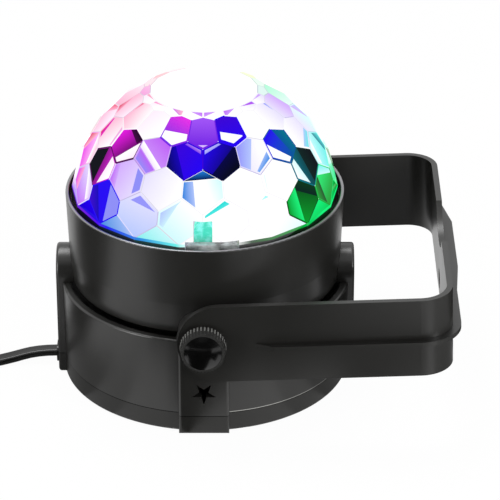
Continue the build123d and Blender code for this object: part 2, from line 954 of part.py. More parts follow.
def handle_ledge():
    """The rib round the strap's outside at mid height, against its outer face."""
    outer = strap_outer_reach
    end = strap_length
    corner = strap_corner_radius + ledge_reach
    front = -outer - ledge_reach
    nose = end + ledge_reach
    middle = end + ledge_middle_reach
    turn = nose - corner
    mid_step = ledge_middle_front - ledge_reach
    line = Polyline((ledge_start, -outer), (ledge_full, front), (turn, front))
    bow = RadiusArc((turn, front), (nose, front + corner), -corner)
    rest = Polyline(
        (nose, front + corner),
        (nose, mid_step - corner),
        (middle, ledge_middle_front),
        (middle, ledge_middle_back),
        (end, ledge_end),
        (end - strap_thickness / 2, ledge_end),
        (end - strap_thickness / 2, -outer + strap_corner_radius),
        (end - strap_corner_radius, -outer + strap_thickness / 2),
        (ledge_start, -outer + strap_thickness / 2),
        (ledge_start, -outer),
    )
    plan = make_face(line + bow + rest)
    plan -= strap_outline(outer + seat_gap, end + seat_gap, strap_corner_radius + seat_gap)
    return on_handle(Pos(0, 0, -ledge_thickness) * extrude(plan, ledge_thickness))


def handle():
    """U strap with its scoop, hanging hole and pivot holes."""
    inner_corner = strap_corner_radius - strap_thickness
    plan = strap_outline(strap_outer_reach, strap_length, strap_corner_radius)
    plan -= strap_outline(strap_inner_reach, strap_length - strap_thickness, inner_corner)
    body = extrude(plan, strap_height / 2, both=True)
    body &= strap_side()
    scoop_centre = strap_height / 2 - scoop_depth + scoop_radius
    end_start = strap_length - strap_corner_radius
    reach = 2 * strap_corner_radius
    scoop = Plane.YZ.offset(end_start) * Pos(scoop_offset, scoop_centre) * Circle(scoop_radius)
    body -= extrude(scoop, reach)
    hole = Plane.YZ.offset(end_start) * Pos(0, -hang_hole_drop) * Circle(hang_hole_radius)
    body -= extrude(hole, reach)
    stud_hole = Plane.XZ * Circle(stud_hole_radius)
    body -= extrude(stud_hole, strap_outer_reach + overrun, both=True)
    return on_handle(body)


def at_knob(side, piece):
    """Turns a piece that stands on z = 0 to face out of the front (-1) or the rear (1)."""
    return Pos(0, 0, pivot_height) * Rot(-90 * side, 0, 0) * piece


def washer(side):
    """Friction washer between an arm and the strap."""
    inner = arm_reach + seat_gap
    return at_knob(side, disc(washer_radius, inner, strap_inner_reach - seat_gap, stud_hole_radius))


def threaded_insert(side):
    """Brass insert in an arm for the knob's stud."""
    outer = arm_reach
    return at_knob(side, disc(insert_radius, outer - insert_length, outer, insert_bore_radius))


def knob(side):
    """Knurled ring on a plain collar, hollow in front for its cap."""
    start = strap_outer_reach + seat_gap
    back = start + collar_height
    front = back + knurl_height
    body = turned(
        [
            (0, start),
            (collar_radius, start),
            (collar_radius, back),
            (knurl_back_radius, back),
            (knurl_front_radius, front),
            (knob_recess_radius + seat_gap, front),
            (knob_recess_radius + seat_gap, front - knob_recess_depth),
            (0, front - knob_recess_depth),
        ]
    )
    body -= disc(stud_radius + seat_gap, start - overrun, start + knob_socket())
    for k in range(flute_count):
        x, y = polar(1, 360 * k / flute_count)
        slant = knurl_back_radius - knurl_front_radius
        foot = Vector(x, y, 0) * (knurl_back_radius + slant * overrun / knurl_height)
        foot += Vector(0, 0, back - overrun)
        tip = Vector(x, y, 0) * (knurl_front_radius - slant * overrun / knurl_height)
        tip += Vector(0, 0, front + overrun)
        run = tip - foot
        flute = Plane(origin=foot, z_dir=run) * Circle(flute_radius)
        body -= extrude(flute, run.length)
    return at_knob(side, body)


def knob_socket():
    """How far the stud reaches into the knob from its back face."""
    return collar_height + knurl_height - knob_recess_depth - socket_floor


def knob_cap(side):
    """Glossy domed cap in the knob's front."""
    seat = strap_outer_reach + seat_gap + collar_height + knurl_height - knob_recess_depth + seat_gap
    straight = knob_recess_depth
    rise = cap_height
    arch = (knob_recess_radius**2 + rise**2) / (2 * rise)
    body = disc(knob_recess_radius, seat, seat + straight + rise)
    ball = Pos(0, 0, seat + straight + rise - arch) * Sphere(arch)
    return at_knob(side, body & ball)


def knob_stud(side):
    """Threaded stud from the knob through strap and washer into the arm's insert."""
    inner = arm_reach - insert_length
    outer = strap_outer_reach + seat_gap + knob_socket() - seat_gap
    return at_knob(side, disc(stud_radius, inner, outer))


def flat_section(place, heading):
    """The lead's flat section at a place, lying level."""
    across = Vector(0, 0, 1).cross(heading)
    return Plane(origin=place, x_dir=across, z_dir=heading) * SlotOverall(cord_width, cord_thickness)


def route_radii(points):
    """The bend radius at each inner point of the route."""
    radii = []
    for before, here, after in zip(points, points[1:], points[2:]):
        first = Vector(*here) - Vector(*before)
        second = Vector(*after) - Vector(*here)
        turn = radians(first.get_angle(second))
        radii.append(cord_bend_share * min(first.length, second.length) / tan(turn / 2))
    return radii


def swept_cord(name, path):
    """The flat lead along a path, with its volume compared with its section times its length."""
    section = flat_section(path @ 0, path % 0)
    guide = Wire((Pos(0, 0, cord_width) * path).edges())
    body = sweep(section, path, binormal=guide)
    share = body.volume / (section.area * path.length)
    print(f"{name}: length {path.length:.1f} mm, volume over section times length {share:.3f}")
    return body


def power_cord():
    """The lead's free stretch from the gland to the coil."""
    radii = route_radii(cord_route)
    print("power_cord radii:", " ".join(f"{radius:.1f}" for radius in radii))
    return swept_cord("power_cord", FilletPolyline(*cord_route, radius=radii))


def cord_gland():
    """Strain relief, tapered inwards, clamped in the left arm's foot."""
    face = -arm_reach
    outer = Plane(origin=(face, 0, cord_exit_height), x_dir=(0, 1, 0), z_dir=(1, 0, 0))
    inner = Plane(
        origin=(face + gland_length, 0, cord_exit_height), x_dir=(0, 1, 0), z_dir=(1, 0, 0)
    )
    body = loft(
        [
            outer * SlotOverall(gland_width, gland_height),
            inner * SlotOverall(gland_tail_width, gland_tail_height),
        ]
    )
    rim = 2 * gland_collar_rim
    collar = outer * SlotOverall(gland_width + rim, gland_height + rim)
    return body + extrude(collar, -gland_collar)


def coil_radius(turn):
    """The coil's radius after a number of turns: in, a step out, then out to the first size."""
    if turn <= coil_inward_turns:
        return coil_outer_radius - coil_pitch * turn
    step_end = coil_inward_turns + coil_step_turns
    stepped = coil_inner_radius + coil_pitch * coil_step_share
    if turn <= step_end:
        share = (turn - coil_inward_turns) / coil_step_turns
        return coil_inner_radius + share * (stepped - coil_inner_radius)
    return stepped + coil_pitch * (turn - step_end)


def coil_height(turn):
    """The height of the lead's middle: the upper layer is reached in half a turn."""
    climb_end = coil_inward_turns
    climb_start = climb_end - coil_step_turns
    share = min(max((turn - climb_start) / (climb_end - climb_start), 0), 1)
    return cord_route[-1][2] + coil_layer_pitch * (1 - cos(pi * share)) / 2


def coil_place(turn):
    """A place on the coil, clockwise from its front as seen from above."""
    angle = -pi / 2 - 2 * pi * turn
    radius = coil_radius(turn)
    x, y = coil_centre
    return Vector(x + radius * cos(angle), y + radius * sin(angle), coil_height(turn))


def biarc(start, start_heading, end, end_heading):
    """Two arcs that leave one place and reach the next, each on its heading."""
    span = end - start
    both = start_heading + end_heading
    spread = 2 * (1 - start_heading.dot(end_heading))
    along = span.dot(both)
    reach = (sqrt(along**2 + spread * span.dot(span)) - along) / spread
    first = start + start_heading * reach
    second = end - end_heading * reach
    middle = (first + second) * 0.5
    heading = (second - first).normalized()
    return [
        Edge.make_tangent_arc(start, start_heading, middle),
        Edge.make_tangent_arc(middle, heading, end),
    ]


def coil_path():
    """The coil's line: a straight start, quarter turns of two arcs, and the tail to the plug."""
    quarters = round(4 * coil_turns)
    turns = [k / 4 for k in range(quarters + 1)]
    step = heading_turn_share
    headings = [
        (coil_place(min(turn + step, coil_turns)) - coil_place(max(turn - step, 0))).normalized()
        for turn in turns
    ]
    headings[0] = headings[-1] = Vector(-1, 0, 0)
    edges = [Edge.make_line(Vector(*cord_route[-1]), coil_place(0))]
    for k in range(quarters):
        edges += biarc(
            coil_place(turns[k]), headings[k], coil_place(turns[k + 1]), headings[k + 1]
        )
    tail, heading = plug_rear()
    tail_start = tail - heading * cord_width
    edges += biarc(coil_place(coil_turns), headings[-1], tail_start, heading)
    edges.append(Edge.make_line(tail_start, tail))
    return Wire(edges)


def plug_rear():
    """Where the lead enters the plug, and its heading there."""
    heading = Vector(-cos(radians(tail_angle)), -sin(radians(tail_angle)), 0)
    end = coil_place(coil_turns)
    bend_end = Vector(end.X - tail_run, end.Y - tail_side, plug_thickness / 2)
    return bend_end + heading * cord_width, heading


def coil_gap(path):
    """The least gap of the coil to itself, measured on points along its line."""
    step = cord_thickness / 2
    count = int(path.length / step)
    places = [path @ (k / count) for k in range(count + 1)]
    apart = int(3 * cord_width / step)
    core = (cord_width - cord_thickness) / 2
    least = coil_outer_radius
    for k, here in enumerate(places):
        for there in places[k + apart :]:
            level = hypot(here.X - there.X, here.Y - there.Y)
            sideways = max(level - 2 * core, 0)
            least = min(least, hypot(sideways, here.Z - there.Z) - cord_thickness)
    return least


def cord_coil():
    """The lead's rest, wound in two layers, with the tail that enters the plug."""
    path = coil_path()
    print(f"cord_coil least gap to itself: {coil_gap(path):.2f} mm")
    return swept_cord("cord_coil", path)


def coil_tie():
    """Tie over the coil's bundle at the back."""
    radii = [coil_radius(k + tie_turn_share) for k in range(int(coil_turns))]
    inner = min(radii) - cord_width / 2 - tie_gap
    outer = max(radii) + cord_width / 2 + tie_gap
    top = cord_route[-1][2] + coil_layer_pitch + cord_thickness / 2 + tie_gap
    x, y = coil_centre
    middle = (x, y + (inner + outer) / 2)
    span = outer - inner
    body = block(tie_width, span + 2 * tie_thickness, 0, top + tie_thickness, middle)
    body = fillet(body.edges().filter_by(Axis.X).group_by(Axis.Z)[-1], tie_thickness)
    return body - block(2 * tie_width, span, -overrun, top, middle)


def at_plug(piece):
    """Moves a piece from the plug's own frame, along +Z from its rear, to where the plug lies."""
    rear, heading = plug_rear()
    across = Vector(0, 0, 1).cross(heading)
    return Plane(origin=rear, x_dir=across, z_dir=heading).location * piece


def plug_body():
    """Two-pin mains plug that widens from the lead to its face."""
    taper = plug_length - plug_face_depth
    body = loft(
        [
            SlotOverall(plug_tail_width, plug_tail_height),
            Pos(0, 0, taper) * RectangleRounded(plug_width, plug_thickness, plug_thickness / 3),
        ]
    )
    face = RectangleRounded(plug_width, plug_thickness, plug_thickness / 3)
    body += Pos(0, 0, taper) * extrude(face, plug_face_depth)
    return at_plug(body)


def plug_pin(side):
    """A flat blade of the plug."""
    blade = extrude(Rectangle(pin_thickness, pin_width), pin_length)
    blade = chamfer(blade.edges().group_by(Axis.Z)[-1], pin_thickness / 4)
    return at_plug(Pos(side * pin_spacing / 2, 0, plug_length) * blade)


def all_pieces():
    """Every piece under its own name."""
    pieces = {
        "base_shell": base_shell(),
        "bottom_cover": bottom_cover(),
        "foot_pad": foot_pad(),
        "cord_gland": cord_gland(),
        "mains_leads": mains_leads(),
        "power_board": power_board(),
        "transformer": transformer(),
        "capacitor": capacitor(),
        "wire_bundle": wire_bundle(),
        "head_bottom": head_bottom(),
        "head_shell": head_shell(),
        "head_tray": head_tray(),
        "spin_motor": spin_motor(),
        "deck_plate": deck_plate(),
        "led_board": led_board(),
        "ir_receiver": ir_receiver(),
        "receiver_holder": receiver_holder(),
        "control_board": control_board(),
        "microphone": microphone(),
        "crystal_dome": crystal_dome(),
        "dome_ring": dome_ring(),
        "pinion": pinion(),
        "motor_shaft": motor_shaft(),
        "handle": handle(),
        "handle_ledge": handle_ledge(),
        "power_cord": power_cord(),
        "cord_coil": cord_coil(),
        "coil_tie": coil_tie(),
        "plug_body": plug_body(),
    }
    for k in range(4):
        pieces[f"cover_screw_{k + 1}"] = cover_screw(k)
    for k in range(arm_count):
        pieces[f"arm_screw_{k + 1}"] = arm_screw(k)
    for k in range(len(motor_screw_places())):
        pieces[f"motor_screw_{k + 1}"] = motor_screw(k)
    for k in range(len(deck_post_angles)):
        pieces[f"deck_screw_{k + 1}"] = deck_screw(k)
    for k, colour in enumerate(led_names):
        pieces[f"led_{colour}"] = led_emitter(k)
        pieces[f"lens_{colour}"] = led_lens(k)
    for name, side in (("front", -1), ("rear", 1)):
        pieces[f"{name}_insert"] = threaded_insert(side)
        pieces[f"{name}_washer"] = washer(side)
        pieces[f"{name}_knob"] = knob(side)
        pieces[f"{name}_cap"] = knob_cap(side)
        pieces[f"{name}_stud"] = knob_stud(side)
    for name, side in (("left", -1), ("right", 1)):
        pieces[f"plug_pin_{name}"] = plug_pin(side)
    return pieces


for name, piece in all_pieces().items():
    export_step(piece, f"parts/{name}.step")
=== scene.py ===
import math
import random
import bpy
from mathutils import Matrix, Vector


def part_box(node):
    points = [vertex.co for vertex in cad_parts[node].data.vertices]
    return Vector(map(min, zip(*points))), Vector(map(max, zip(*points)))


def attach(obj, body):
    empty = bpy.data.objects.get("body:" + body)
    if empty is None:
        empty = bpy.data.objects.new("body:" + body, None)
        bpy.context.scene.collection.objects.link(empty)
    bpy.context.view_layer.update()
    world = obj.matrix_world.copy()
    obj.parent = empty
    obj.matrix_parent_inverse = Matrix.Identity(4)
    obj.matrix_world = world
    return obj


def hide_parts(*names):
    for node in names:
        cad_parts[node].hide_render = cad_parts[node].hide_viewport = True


bl_info = {
    "name": "Round party light",
    "version": (1, 0, 0),
    "blender": (4, 5, 0),
    "location": "3D View > Sidebar > Party light",
    "description": "Dresses a round party light: a turning faceted dome, a strap handle and a flat lead",
    "category": "Object",
}

import bmesh
import bpy
from bpy.props import FloatProperty, FloatVectorProperty, PointerProperty
from mathutils import Matrix, Vector

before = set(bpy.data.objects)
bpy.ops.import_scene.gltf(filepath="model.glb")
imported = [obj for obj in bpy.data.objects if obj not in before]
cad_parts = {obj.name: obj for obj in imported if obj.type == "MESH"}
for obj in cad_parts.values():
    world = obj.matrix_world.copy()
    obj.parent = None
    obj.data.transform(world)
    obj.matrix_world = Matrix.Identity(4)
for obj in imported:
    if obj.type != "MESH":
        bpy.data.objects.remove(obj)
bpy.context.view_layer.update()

mm = 0.001

# The dome's place in the frame, and sizes that its settings don't hold
dome_low, dome_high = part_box("crystal_dome")
skirt_depth = 0.5 * mm
skirt_inset = 0.3 * mm
roof_wall = 2 * mm
roof_steps = 16
round_steps = 72
cut_tolerance = 1e-7
weld_distance = 1e-6

# The dome's rows of facets, from the rim up, in degrees above its middle. Each row starts half a
# step round from the row below.
facet_latitudes = (4, 17, 30, 43, 56, 69)
facets_per_row = 18
half_step = 180 // facets_per_row
top_row = len(facet_latitudes) - 1

# Facets that the front doesn't show get their painted light by chance. From this row up they are
# pale, and below it by their draw: pale under the first share, deep under the third, dark under the
# fourth, and else soft. A pale one has a patch of painted reflection under the second.
chance_seed = 7
first_pale_row = 4
pale_draw, patch_draw, deep_draw, dark_draw = 0.4, 0.5, 0.62, 0.82

# A face that belongs to no zone of colour
no_zone = -1

# Marks on the plastics: the head's bright lip, a painted highlight on the knobs' ridges, and where
# base and cover part a line of painted highlight and a line of painted shadow, by half their width and
# their start along X. The painted shadow goes all round.
lip_height = 0.2 * mm
ridge_highlight_depth = 0.22 * mm
seam_highlight_reach = 0.24 * mm
seam_highlight_start = 7.7 * mm
seam_shadow_reach = 0.2 * mm
seam_shadow_start = -1.0

# Heights over which the lenses and the receiver brighten, from under their tops
lens_rise = 8.3 * mm
receiver_rise = 8.5 * mm

# Colours as they look on a screen, 0 to 255
white = (255, 255, 255)
blush = (253, 232, 246)
rose = (250, 176, 205)
crimson = (214, 24, 74)
magenta = (226, 22, 222)
plum = (66, 0, 70)
orchid = (186, 96, 240)
lilac = (206, 166, 248)
lavender = (226, 220, 252)
periwinkle = (140, 140, 242)
violet = (112, 34, 222)
plum_light = (158, 84, 240)
indigo = (58, 0, 206)
royal_teal = (0, 84, 150)
royal = (34, 0, 238)
deep_blue = (18, 0, 178)
navy = (2, 2, 66)
ink = (2, 4, 16)
sky = (176, 194, 247)
azure = (34, 126, 218)
ice = (206, 246, 250)
aqua = (92, 232, 226)
cyan = (0, 206, 204)
teal = (0, 112, 132)
bottle = (0, 32, 30)
spring = (24, 240, 122)
leaf = (0, 150, 40)
forest = (0, 62, 18)
amber = (255, 168, 52)
red = (236, 34, 44)
lime = (150, 226, 60)
edge_violet = (110, 100, 140)
resin_dark = (0, 40, 36)
resin_foot = (0, 110, 70)
resin_glow = (0, 222, 190)
resin_bright = (120, 252, 240)
holder_dark = (84, 90, 88)
holder_pale = (214, 220, 218)

# Colours as the shader's own numbers, with full strength
black = (0.0, 0.0, 0.0, 1.0)
full_white = (1.0, 1.0, 1.0, 1.0)
# Black of the polished caps, also used for the painted shadow line on the cover
deep_black = (0.002, 0.002, 0.002, 1.0)
# Painted shade for the dome's foot
rim_shade_black = (0.004, 0.004, 0.004, 1.0)
# Painted highlight for the line along the base's lower edge
seam_highlight_grey = (0.4, 0.4, 0.38, 1.0)

# How far chamfers go towards edge_violet, by the least sum of a colour's parts beside them
edge_shades = ((740, 0.1), (480, 0.26))

# The light's colour round the dome, by degrees from the front towards the handle's side
round_colours = (
    (-180, rose),
    (-140, red),
    (-105, crimson),
    (-80, magenta),
    (-50, violet),
    (-15, royal),
    (15, azure),
    (50, aqua),
    (80, teal),
    (105, spring),
    (125, lime),
    (150, amber),
    (180, rose),
)

# Facets that the front shows, by row and degrees from the front, with the LED light painted on them.
# Each has its painted light's colour from one side to the other, the side it runs to, and patches of
# painted reflection: the side where a patch lies, its start from the facet's middle and its rim in
# millimetres, and its two colours. Sides are degrees, with 0 to the right and 90 up, as seen from
# outside.
facet_looks = {
    (5, -70): (white, blush, 180, ((100, -2.7, 0.2, rose, crimson),)),
    (5, -50): (white, blush, 150, ((100, -2.6, 0.2, rose, magenta),)),
    (5, -30): (white, white, 90, ((60, -2.5, 0.1, orchid, rose),)),
    (5, -10): (white, white, 90, ((65, -2.4, 0.1, lilac, orchid),)),
    (5, 10): (white, white, 90, ((115, -2.4, 0.1, lilac, orchid),)),
    (5, 30): (white, white, 90, ((120, -2.5, 0.1, lilac, orchid),)),
    (5, 50): (white, lavender, 30, ((75, -2.8, 0.2, orchid, violet),)),
    (5, 70): (white, lavender, 0, ((80, -2.7, 0.2, lilac, orchid),)),
    (4, -80): (blush, rose, 180, ((200, 2.4, 0.2, rose, crimson),)),
    (4, -60): (white, rose, 190, ((160, 3.2, 0.2, rose, crimson),)),
    (4, -40): (white, blush, 150, ()),
    (4, -20): (violet, magenta, 70, ((268, 0.5, 0.35, white, white),)),
    (4, 0): (violet, plum_light, 90, ((270, 4.3, 0.3, lavender, lilac),)),
    (4, 20): (royal, indigo, 100, ((250, 0.3, 0.9, white, white),)),
    (4, 40): (white, white, 60, ()),
    (4, 60): (white, lavender, 10, ((20, 3.3, 0.2, sky, periwinkle),)),
    (4, 80): (lavender, lilac, 0, ()),
    (3, -90): (blush, rose, 200, ((130, 2.6, 0.2, rose, crimson),)),
    (3, -70): (white, rose, 160, ((185, 3.0, 0.4, magenta, crimson), (10, 3.2, 0.4, rose, lilac))),
    (3, -50): (plum, magenta, 150, ((322, 1.7, 0.3, white, blush), (60, 2.9, 0.1, plum, ink))),
    (3, -30): (lilac, orchid, 60, ((232, 2.0, 0.3, orchid, periwinkle), (232, 0.2, 0.0, white, lilac))),
    (3, -10): (indigo, royal, 335, ((62, 3.4, 0.4, violet, lavender), (200, 1.8, 0.0, deep_blue, navy))),
    (3, 10): (royal, navy, 330, ((118, 3.4, 0.4, periwinkle, lavender), (318, 0.8, 0.0, navy, ink))),
    (3, 30): (lavender, white, 0, ((158, 0.4, 0.2, sky, periwinkle), (315, 2.8, 0.5, sky, azure))),
    (3, 50): (royal_teal, royal, 120, ((222, 1.7, 0.4, white, white), (15, 1.6, 0.1, royal_teal, teal))),
    (3, 70): (white, lavender, 0, ((300, 2.8, 0.3, sky, aqua),)),
    (3, 90): (lavender, ice, 0, ((30, 2.4, 0.3, lilac, sky),)),
    (2, -80): (blush, magenta, 210, ((20, 1.8, 0.3, white, rose), (150, 2.6, 0.2, rose, crimson))),
    (2, -60): (plum, magenta, 0, ((350, 1.9, 0.3, blush, white), (180, 0.4, 0.2, ink, ink))),
    (2, -40): (
        lavender,
        lilac,
        160,
        ((5, 2.4, 0.5, periwinkle, periwinkle), (185, 3.6, 0.2, lilac, orchid)),
    ),
    (2, -20): (white, lavender, 160, ()),
    (2, 0): (
        white,
        white,
        90,
        ((95, 3.2, 0.1, navy, azure), (185, 2.4, 0.2, sky, azure), (20, 1.0, 0.2, white, ice)),
    ),
    (2, 20): (white, white, 90, ()),
    (2, 40): (white, white, 90, ((170, 4.0, 0.8, ice, white),)),
    (2, 60): (teal, bottle, 0, ((195, 2.4, 0.3, ice, white), (5, 0.2, 0.2, bottle, ink))),
    (2, 80): (ice, aqua, 330, ((170, 2.6, 0.3, white, ice), (20, 2.8, 0.3, teal, aqua))),
    (1, -90): (lilac, blush, 180, ()),
    (1, -70): (lavender, orchid, 250, ((20, 2.2, 0.3, white, lilac), (170, 2.8, 0.3, rose, magenta))),
    (1, -50): (
        royal,
        royal,
        180,
        ((0, 1.2, 0.1, periwinkle, periwinkle), (200, 2.6, 0.1, deep_blue, indigo)),
    ),
    (1, -30): (lavender, sky, 260, ((80, 2.2, 0.8, periwinkle, periwinkle),)),
    (1, -10): (white, ice, 230, ((150, 2.6, 0.6, ice, sky),)),
    (1, 10): (white, white, 90, ((116, 3.3, 0.5, aqua, cyan),)),
    (1, 30): (white, white, 90, ((100, 3.9, 0.8, ice, aqua),)),
    (1, 50): (forest, leaf, 250, ((185, 1.4, 0.2, spring, leaf), (60, 2.4, 0.1, bottle, forest))),
    (1, 70): (leaf, spring, 110, ((70, 2.6, 0.3, ice, aqua), (190, 2.4, 0.2, forest, leaf))),
    (1, 90): (spring, ice, 80, ((20, 2.0, 0.2, forest, leaf),)),
    (0, -80): (periwinkle, lilac, 100, ()),
    (0, -60): (royal, deep_blue, 250, ()),
    (0, -40): (azure, sky, 30, ()),
    (0, -20): (ice, aqua, 230, ()),
    (0, 0): (white, white, 90, ()),
    (0, 20): (white, white, 90, ()),
    (0, 40): (white, ice, 320, ((285, -0.8, 0.1, leaf, forest),)),
    (0, 60): (leaf, spring, 100, ((250, 2.2, 0.1, forest, bottle),)),
    (0, 80): (spring, leaf, 40, ()),
}

# The lead's free stretch from the gland to the coil, in metres
cord_route = (
    (-0.0471, 0.0, 0.0034),
    (-0.0535, 0.0, 0.0034),
    (-0.0625, -0.0014, 0.0012),
    (-0.0725, -0.0057, 0.0012),
    (-0.0855, -0.0107, 0.0012),
    (-0.1008, -0.0144, 0.0012),
    (-0.1162, -0.0144, 0.0012),
)
# Its tail from the coil up into the plug
tail_route = (
    (-0.1265, -0.0144, 0.0041),
    (-0.1325, -0.0154, 0.0047),
    (-0.1384, -0.0190, 0.0057),
    (-0.1430, -0.0229, 0.0060),
    (-0.1467, -0.0260, 0.0060),
)
coil_centre = (-0.121, 0.0223)
coil_inner_radius = 0.0202
coil_outer_radius = 0.0367
coil_pitch = 0.0055
coil_layer_pitch = 0.0029
coil_inward_turns = 3.0
coil_step_turns = 0.5
coil_step_share = 1.5
coil_outward_turns = 1.5
points_per_turn = 24
# Steps round each core in the lead's section, and the groove's half height as a share of the core's
core_steps = 8
groove_share = 0.7

# Screws by name and number, and the plain mouldings and jackets: material, colour and nodes
screws = (("cover_screw", 4), ("arm_screw", 4), ("motor_screw", 2), ("deck_screw", 3))
inner_plastics = (
    ("inner_white", (0.8, 0.8, 0.8, 1.0), ("dome_ring", "pinion", "head_tray")),
    ("inner_black", (0.03, 0.03, 0.03, 1.0), ("head_bottom", "transformer")),
    ("capacitor_sleeve", (0.02, 0.03, 0.12, 1.0), ("capacitor", "microphone")),
    ("wire_red", (0.5, 0.03, 0.02, 1.0), ("wire_bundle", "mains_leads")),
    ("deck_white", (0.85, 0.85, 0.85, 1.0), ("deck_plate",)),
    ("washer_nylon", (0.02, 0.02, 0.02, 1.0), ("front_washer", "rear_washer")),
)
green_track = (0.05, 0.3, 0.1, 1.0)
white_mask = (0.8, 0.8, 0.8, 1.0)
white_track = (0.7, 0.68, 0.55, 1.0)

# The lamps: place and size in metres, and power as a share of the main lamp's
lamps = (
    ("left_lamp", (-0.98, -0.69, 0.25), (0.3, 0.7), 1.0),
    ("right_lamp", (0.95, -0.74, 0.25), (0.2, 0.7), 1.9),
    ("front_lamp", (-0.1, -1.2, 0.55), (0.3, 0.2), 0.15),
    ("top_lamp", (-0.2, 0.3, 1.2), (0.8, 0.5), 1.4),
)
lamp_aim = (0.02, 0.0, 0.04)

# Dark cards with three corners, which only glossy surfaces show. The last stands upright in front.
# Each has its turn from the front and its lean in degrees, its reach from middle to corners, its
# distance from the object's axis and its height in millimetres, and its grey.
cards = (
    (-6, 0, 110, 157, 0.2, 0.0),
    (72, 0, 110, 157, 0.15, 0.25),
    (108, 0, 110, 157, 0.2, 0.0),
    (-92, 0, 110, 157, 0.2, 0.0),
    (-29, 0, 60, 145, 0.2, 0.0),
    (15, 0, 40, 120, 0.2, 0.0),
    (31, 0, 38, 120, 0.2, 0.0),
    (82, 0, 40, 50, 0.3, 0.25),
    (-82, 0, 40, 50, 0.3, 0.25),
    (66, 0, 46, 52, 0.1, 0.6),
    (-66, 0, 46, 52, 0.1, 0.6),
    (0, 90, 300, 230, 100, 0.0),
)


def linear(colour):
    """A screen colour as the shader's own numbers, with full strength."""
    parts = []
    for part in colour:
        share = part / 255
        parts.append(share / 12.92 if share <= 0.04045 else ((share + 0.055) / 1.055) ** 2.4)
    return (*parts, 1.0)


def between(first, second, share):
    """A colour or place part of the way from one to another."""
    return tuple(a + (b - a) * share for a, b in zip(first, second))


# The light just over the rim, from the lead's side to the strap's, and the width it runs over
low_stops = (
    (0.05, linear(violet)),
    (0.14, linear(royal)),
    (0.27, linear(azure)),
    (0.4, linear(aqua)),
    (0.46, linear(white)),
    (0.6, linear(white)),
    (0.68, linear(forest)),
    (0.86, linear(leaf)),
    (0.95, linear(spring)),
)
low_glow_width = 80 * mm


class Value:
    """A shader socket that can stand in sums and products."""

    def __init__(self, nodes, socket):
        self.nodes = nodes
        self.socket = socket

    def math(self, operation, *values):
        return self.nodes.node("ShaderNodeMath", {"operation": operation}, dict(enumerate(values)))

    def highest(self, other):
        return self.math("MAXIMUM", self, other)

    def __add__(self, other):
        return self.math("ADD", self, other)

    def __mul__(self, other):
        return self.math("MULTIPLY", self, other)

    def __sub__(self, other):
        return self.math("SUBTRACT", self, other)

    def __rsub__(self, other):
        return self.math("SUBTRACT", other, self)

    def __gt__(self, other):
        return self.math("GREATER_THAN", self, other)

    def __lt__(self, other):
        return self.math("LESS_THAN", self, other)

    __radd__ = __add__
    __rmul__ = __mul__


class Nodes:
    """A node tree, and the one way in which its nodes are made and linked."""

    def __init__(self, tree):
        self.tree = tree

    def feed(self, socket, value):
        """Gives a socket a value or a link."""
        if isinstance(value, Value):
            self.tree.links.new(value.socket, socket)
        else:
            socket.default_value = value

    def node(self, kind, settings=None, sockets=None, output=0):
        """A node of a type, with its settings first and then its sockets, as one of its outputs."""
        made = self.tree.nodes.new(kind)
        for key, value in (settings or {}).items():
            if key == "stops":
                ramp = made.color_ramp
                while len(ramp.elements) < len(value):
                    ramp.elements.new(1.0)
                for element, (place, colour) in zip(ramp.elements, value):
                    element.position = place
                    element.color = colour
            else:
                setattr(made, key, value)
        for key, value in (sockets or {}).items():
            self.feed(made.inputs[key], value)
        return Value(self, made.outputs[output])

    def seen(self):
        """1 for what the camera sees, straight, mirrored or through clear plastic, and 0 for light."""
        seen = self.node("ShaderNodeLightPath", output="Is Camera Ray")
        for ray in ("Is Glossy Ray", "Is Transmission Ray"):
            seen = seen.highest(self.node("ShaderNodeLightPath", output=ray))
        return seen

    def both(self, share, first, second):
        """Two shaders in one, the second by its share."""
        return self.node("ShaderNodeMixShader", None, {0: share, 1: first, 2: second})


class Paint(Nodes):
    """A material and the nodes that feed its surface."""

    def __init__(self, name, **settings):
        self.material = bpy.data.materials.new(name)
        self.material.use_nodes = True
        super().__init__(self.material.node_tree)
        self.surface = self.tree.nodes["Principled BSDF"]
        for key, value in settings.items():
            self.set(key.replace("_", " ").title().replace("Ior", "IOR"), value)

    def set(self, socket, value):
        """Gives one socket of the surface a value or a link."""
        self.feed(self.surface.inputs[socket], value)

    def line_over(self, share, colour):
        """Lays a metallic line over the surface's colour, where the share is 1."""
        under = Value(self, self.surface.inputs["Base Color"].links[0].from_socket)
        self.set("Base Color", self.mix(share, under, colour))
        self.set("Metallic", share)

    def place(self):
        """The piece's own coordinates."""
        return self.node("ShaderNodeTexCoord", output="Object")

    def stretched(self, scale):
        """The piece's own coordinates, scaled on each axis."""
        return self.node("ShaderNodeMapping", None, {"Vector": self.place(), "Scale": scale})

    def axis(self, letter):
        return self.node("ShaderNodeSeparateXYZ", None, {"Vector": self.place()}, letter)

    def noise(self, scale, detail=2.0, vector=None):
        """Soft noise, 0 to 1. The scale is in waves per metre."""
        sockets = {"Vector": vector or self.place(), "Scale": scale, "Detail": detail}
        return self.node("ShaderNodeTexNoise", None, sockets)

    def mix(self, share, first, second):
        """A colour between two."""
        sockets = {0: share, 6: first, 7: second}
        return self.node("ShaderNodeMix", {"data_type": "RGBA"}, sockets, 2)

    def bump(self, height, strength, distance):
        sockets = {"Height": height, "Strength": strength, "Distance": distance}
        self.set("Normal", self.node("ShaderNodeBump", None, sockets))


def toned(colour, share=0.8):
    """The same colour with less or more light in it."""
    return (*(share * part for part in colour[:3]), 1.0)


def moulded_plastic(name, colour, roughness, grain=0.05, shine=0.6):
    """Moulded plastic: a fine eggshell grain, faint clouds and uneven gloss."""
    paint = Paint(name, specular_ior_level=shine)
    clouds = paint.noise(35.0, 3.0)
    paint.set("Base Color", paint.mix(clouds, toned(colour), colour))
    paint.set("Roughness", clouds * 0.1 + (roughness - 0.05))
    paint.bump(paint.noise(5200.0, 2.0), grain, 0.03 * mm)
    return paint


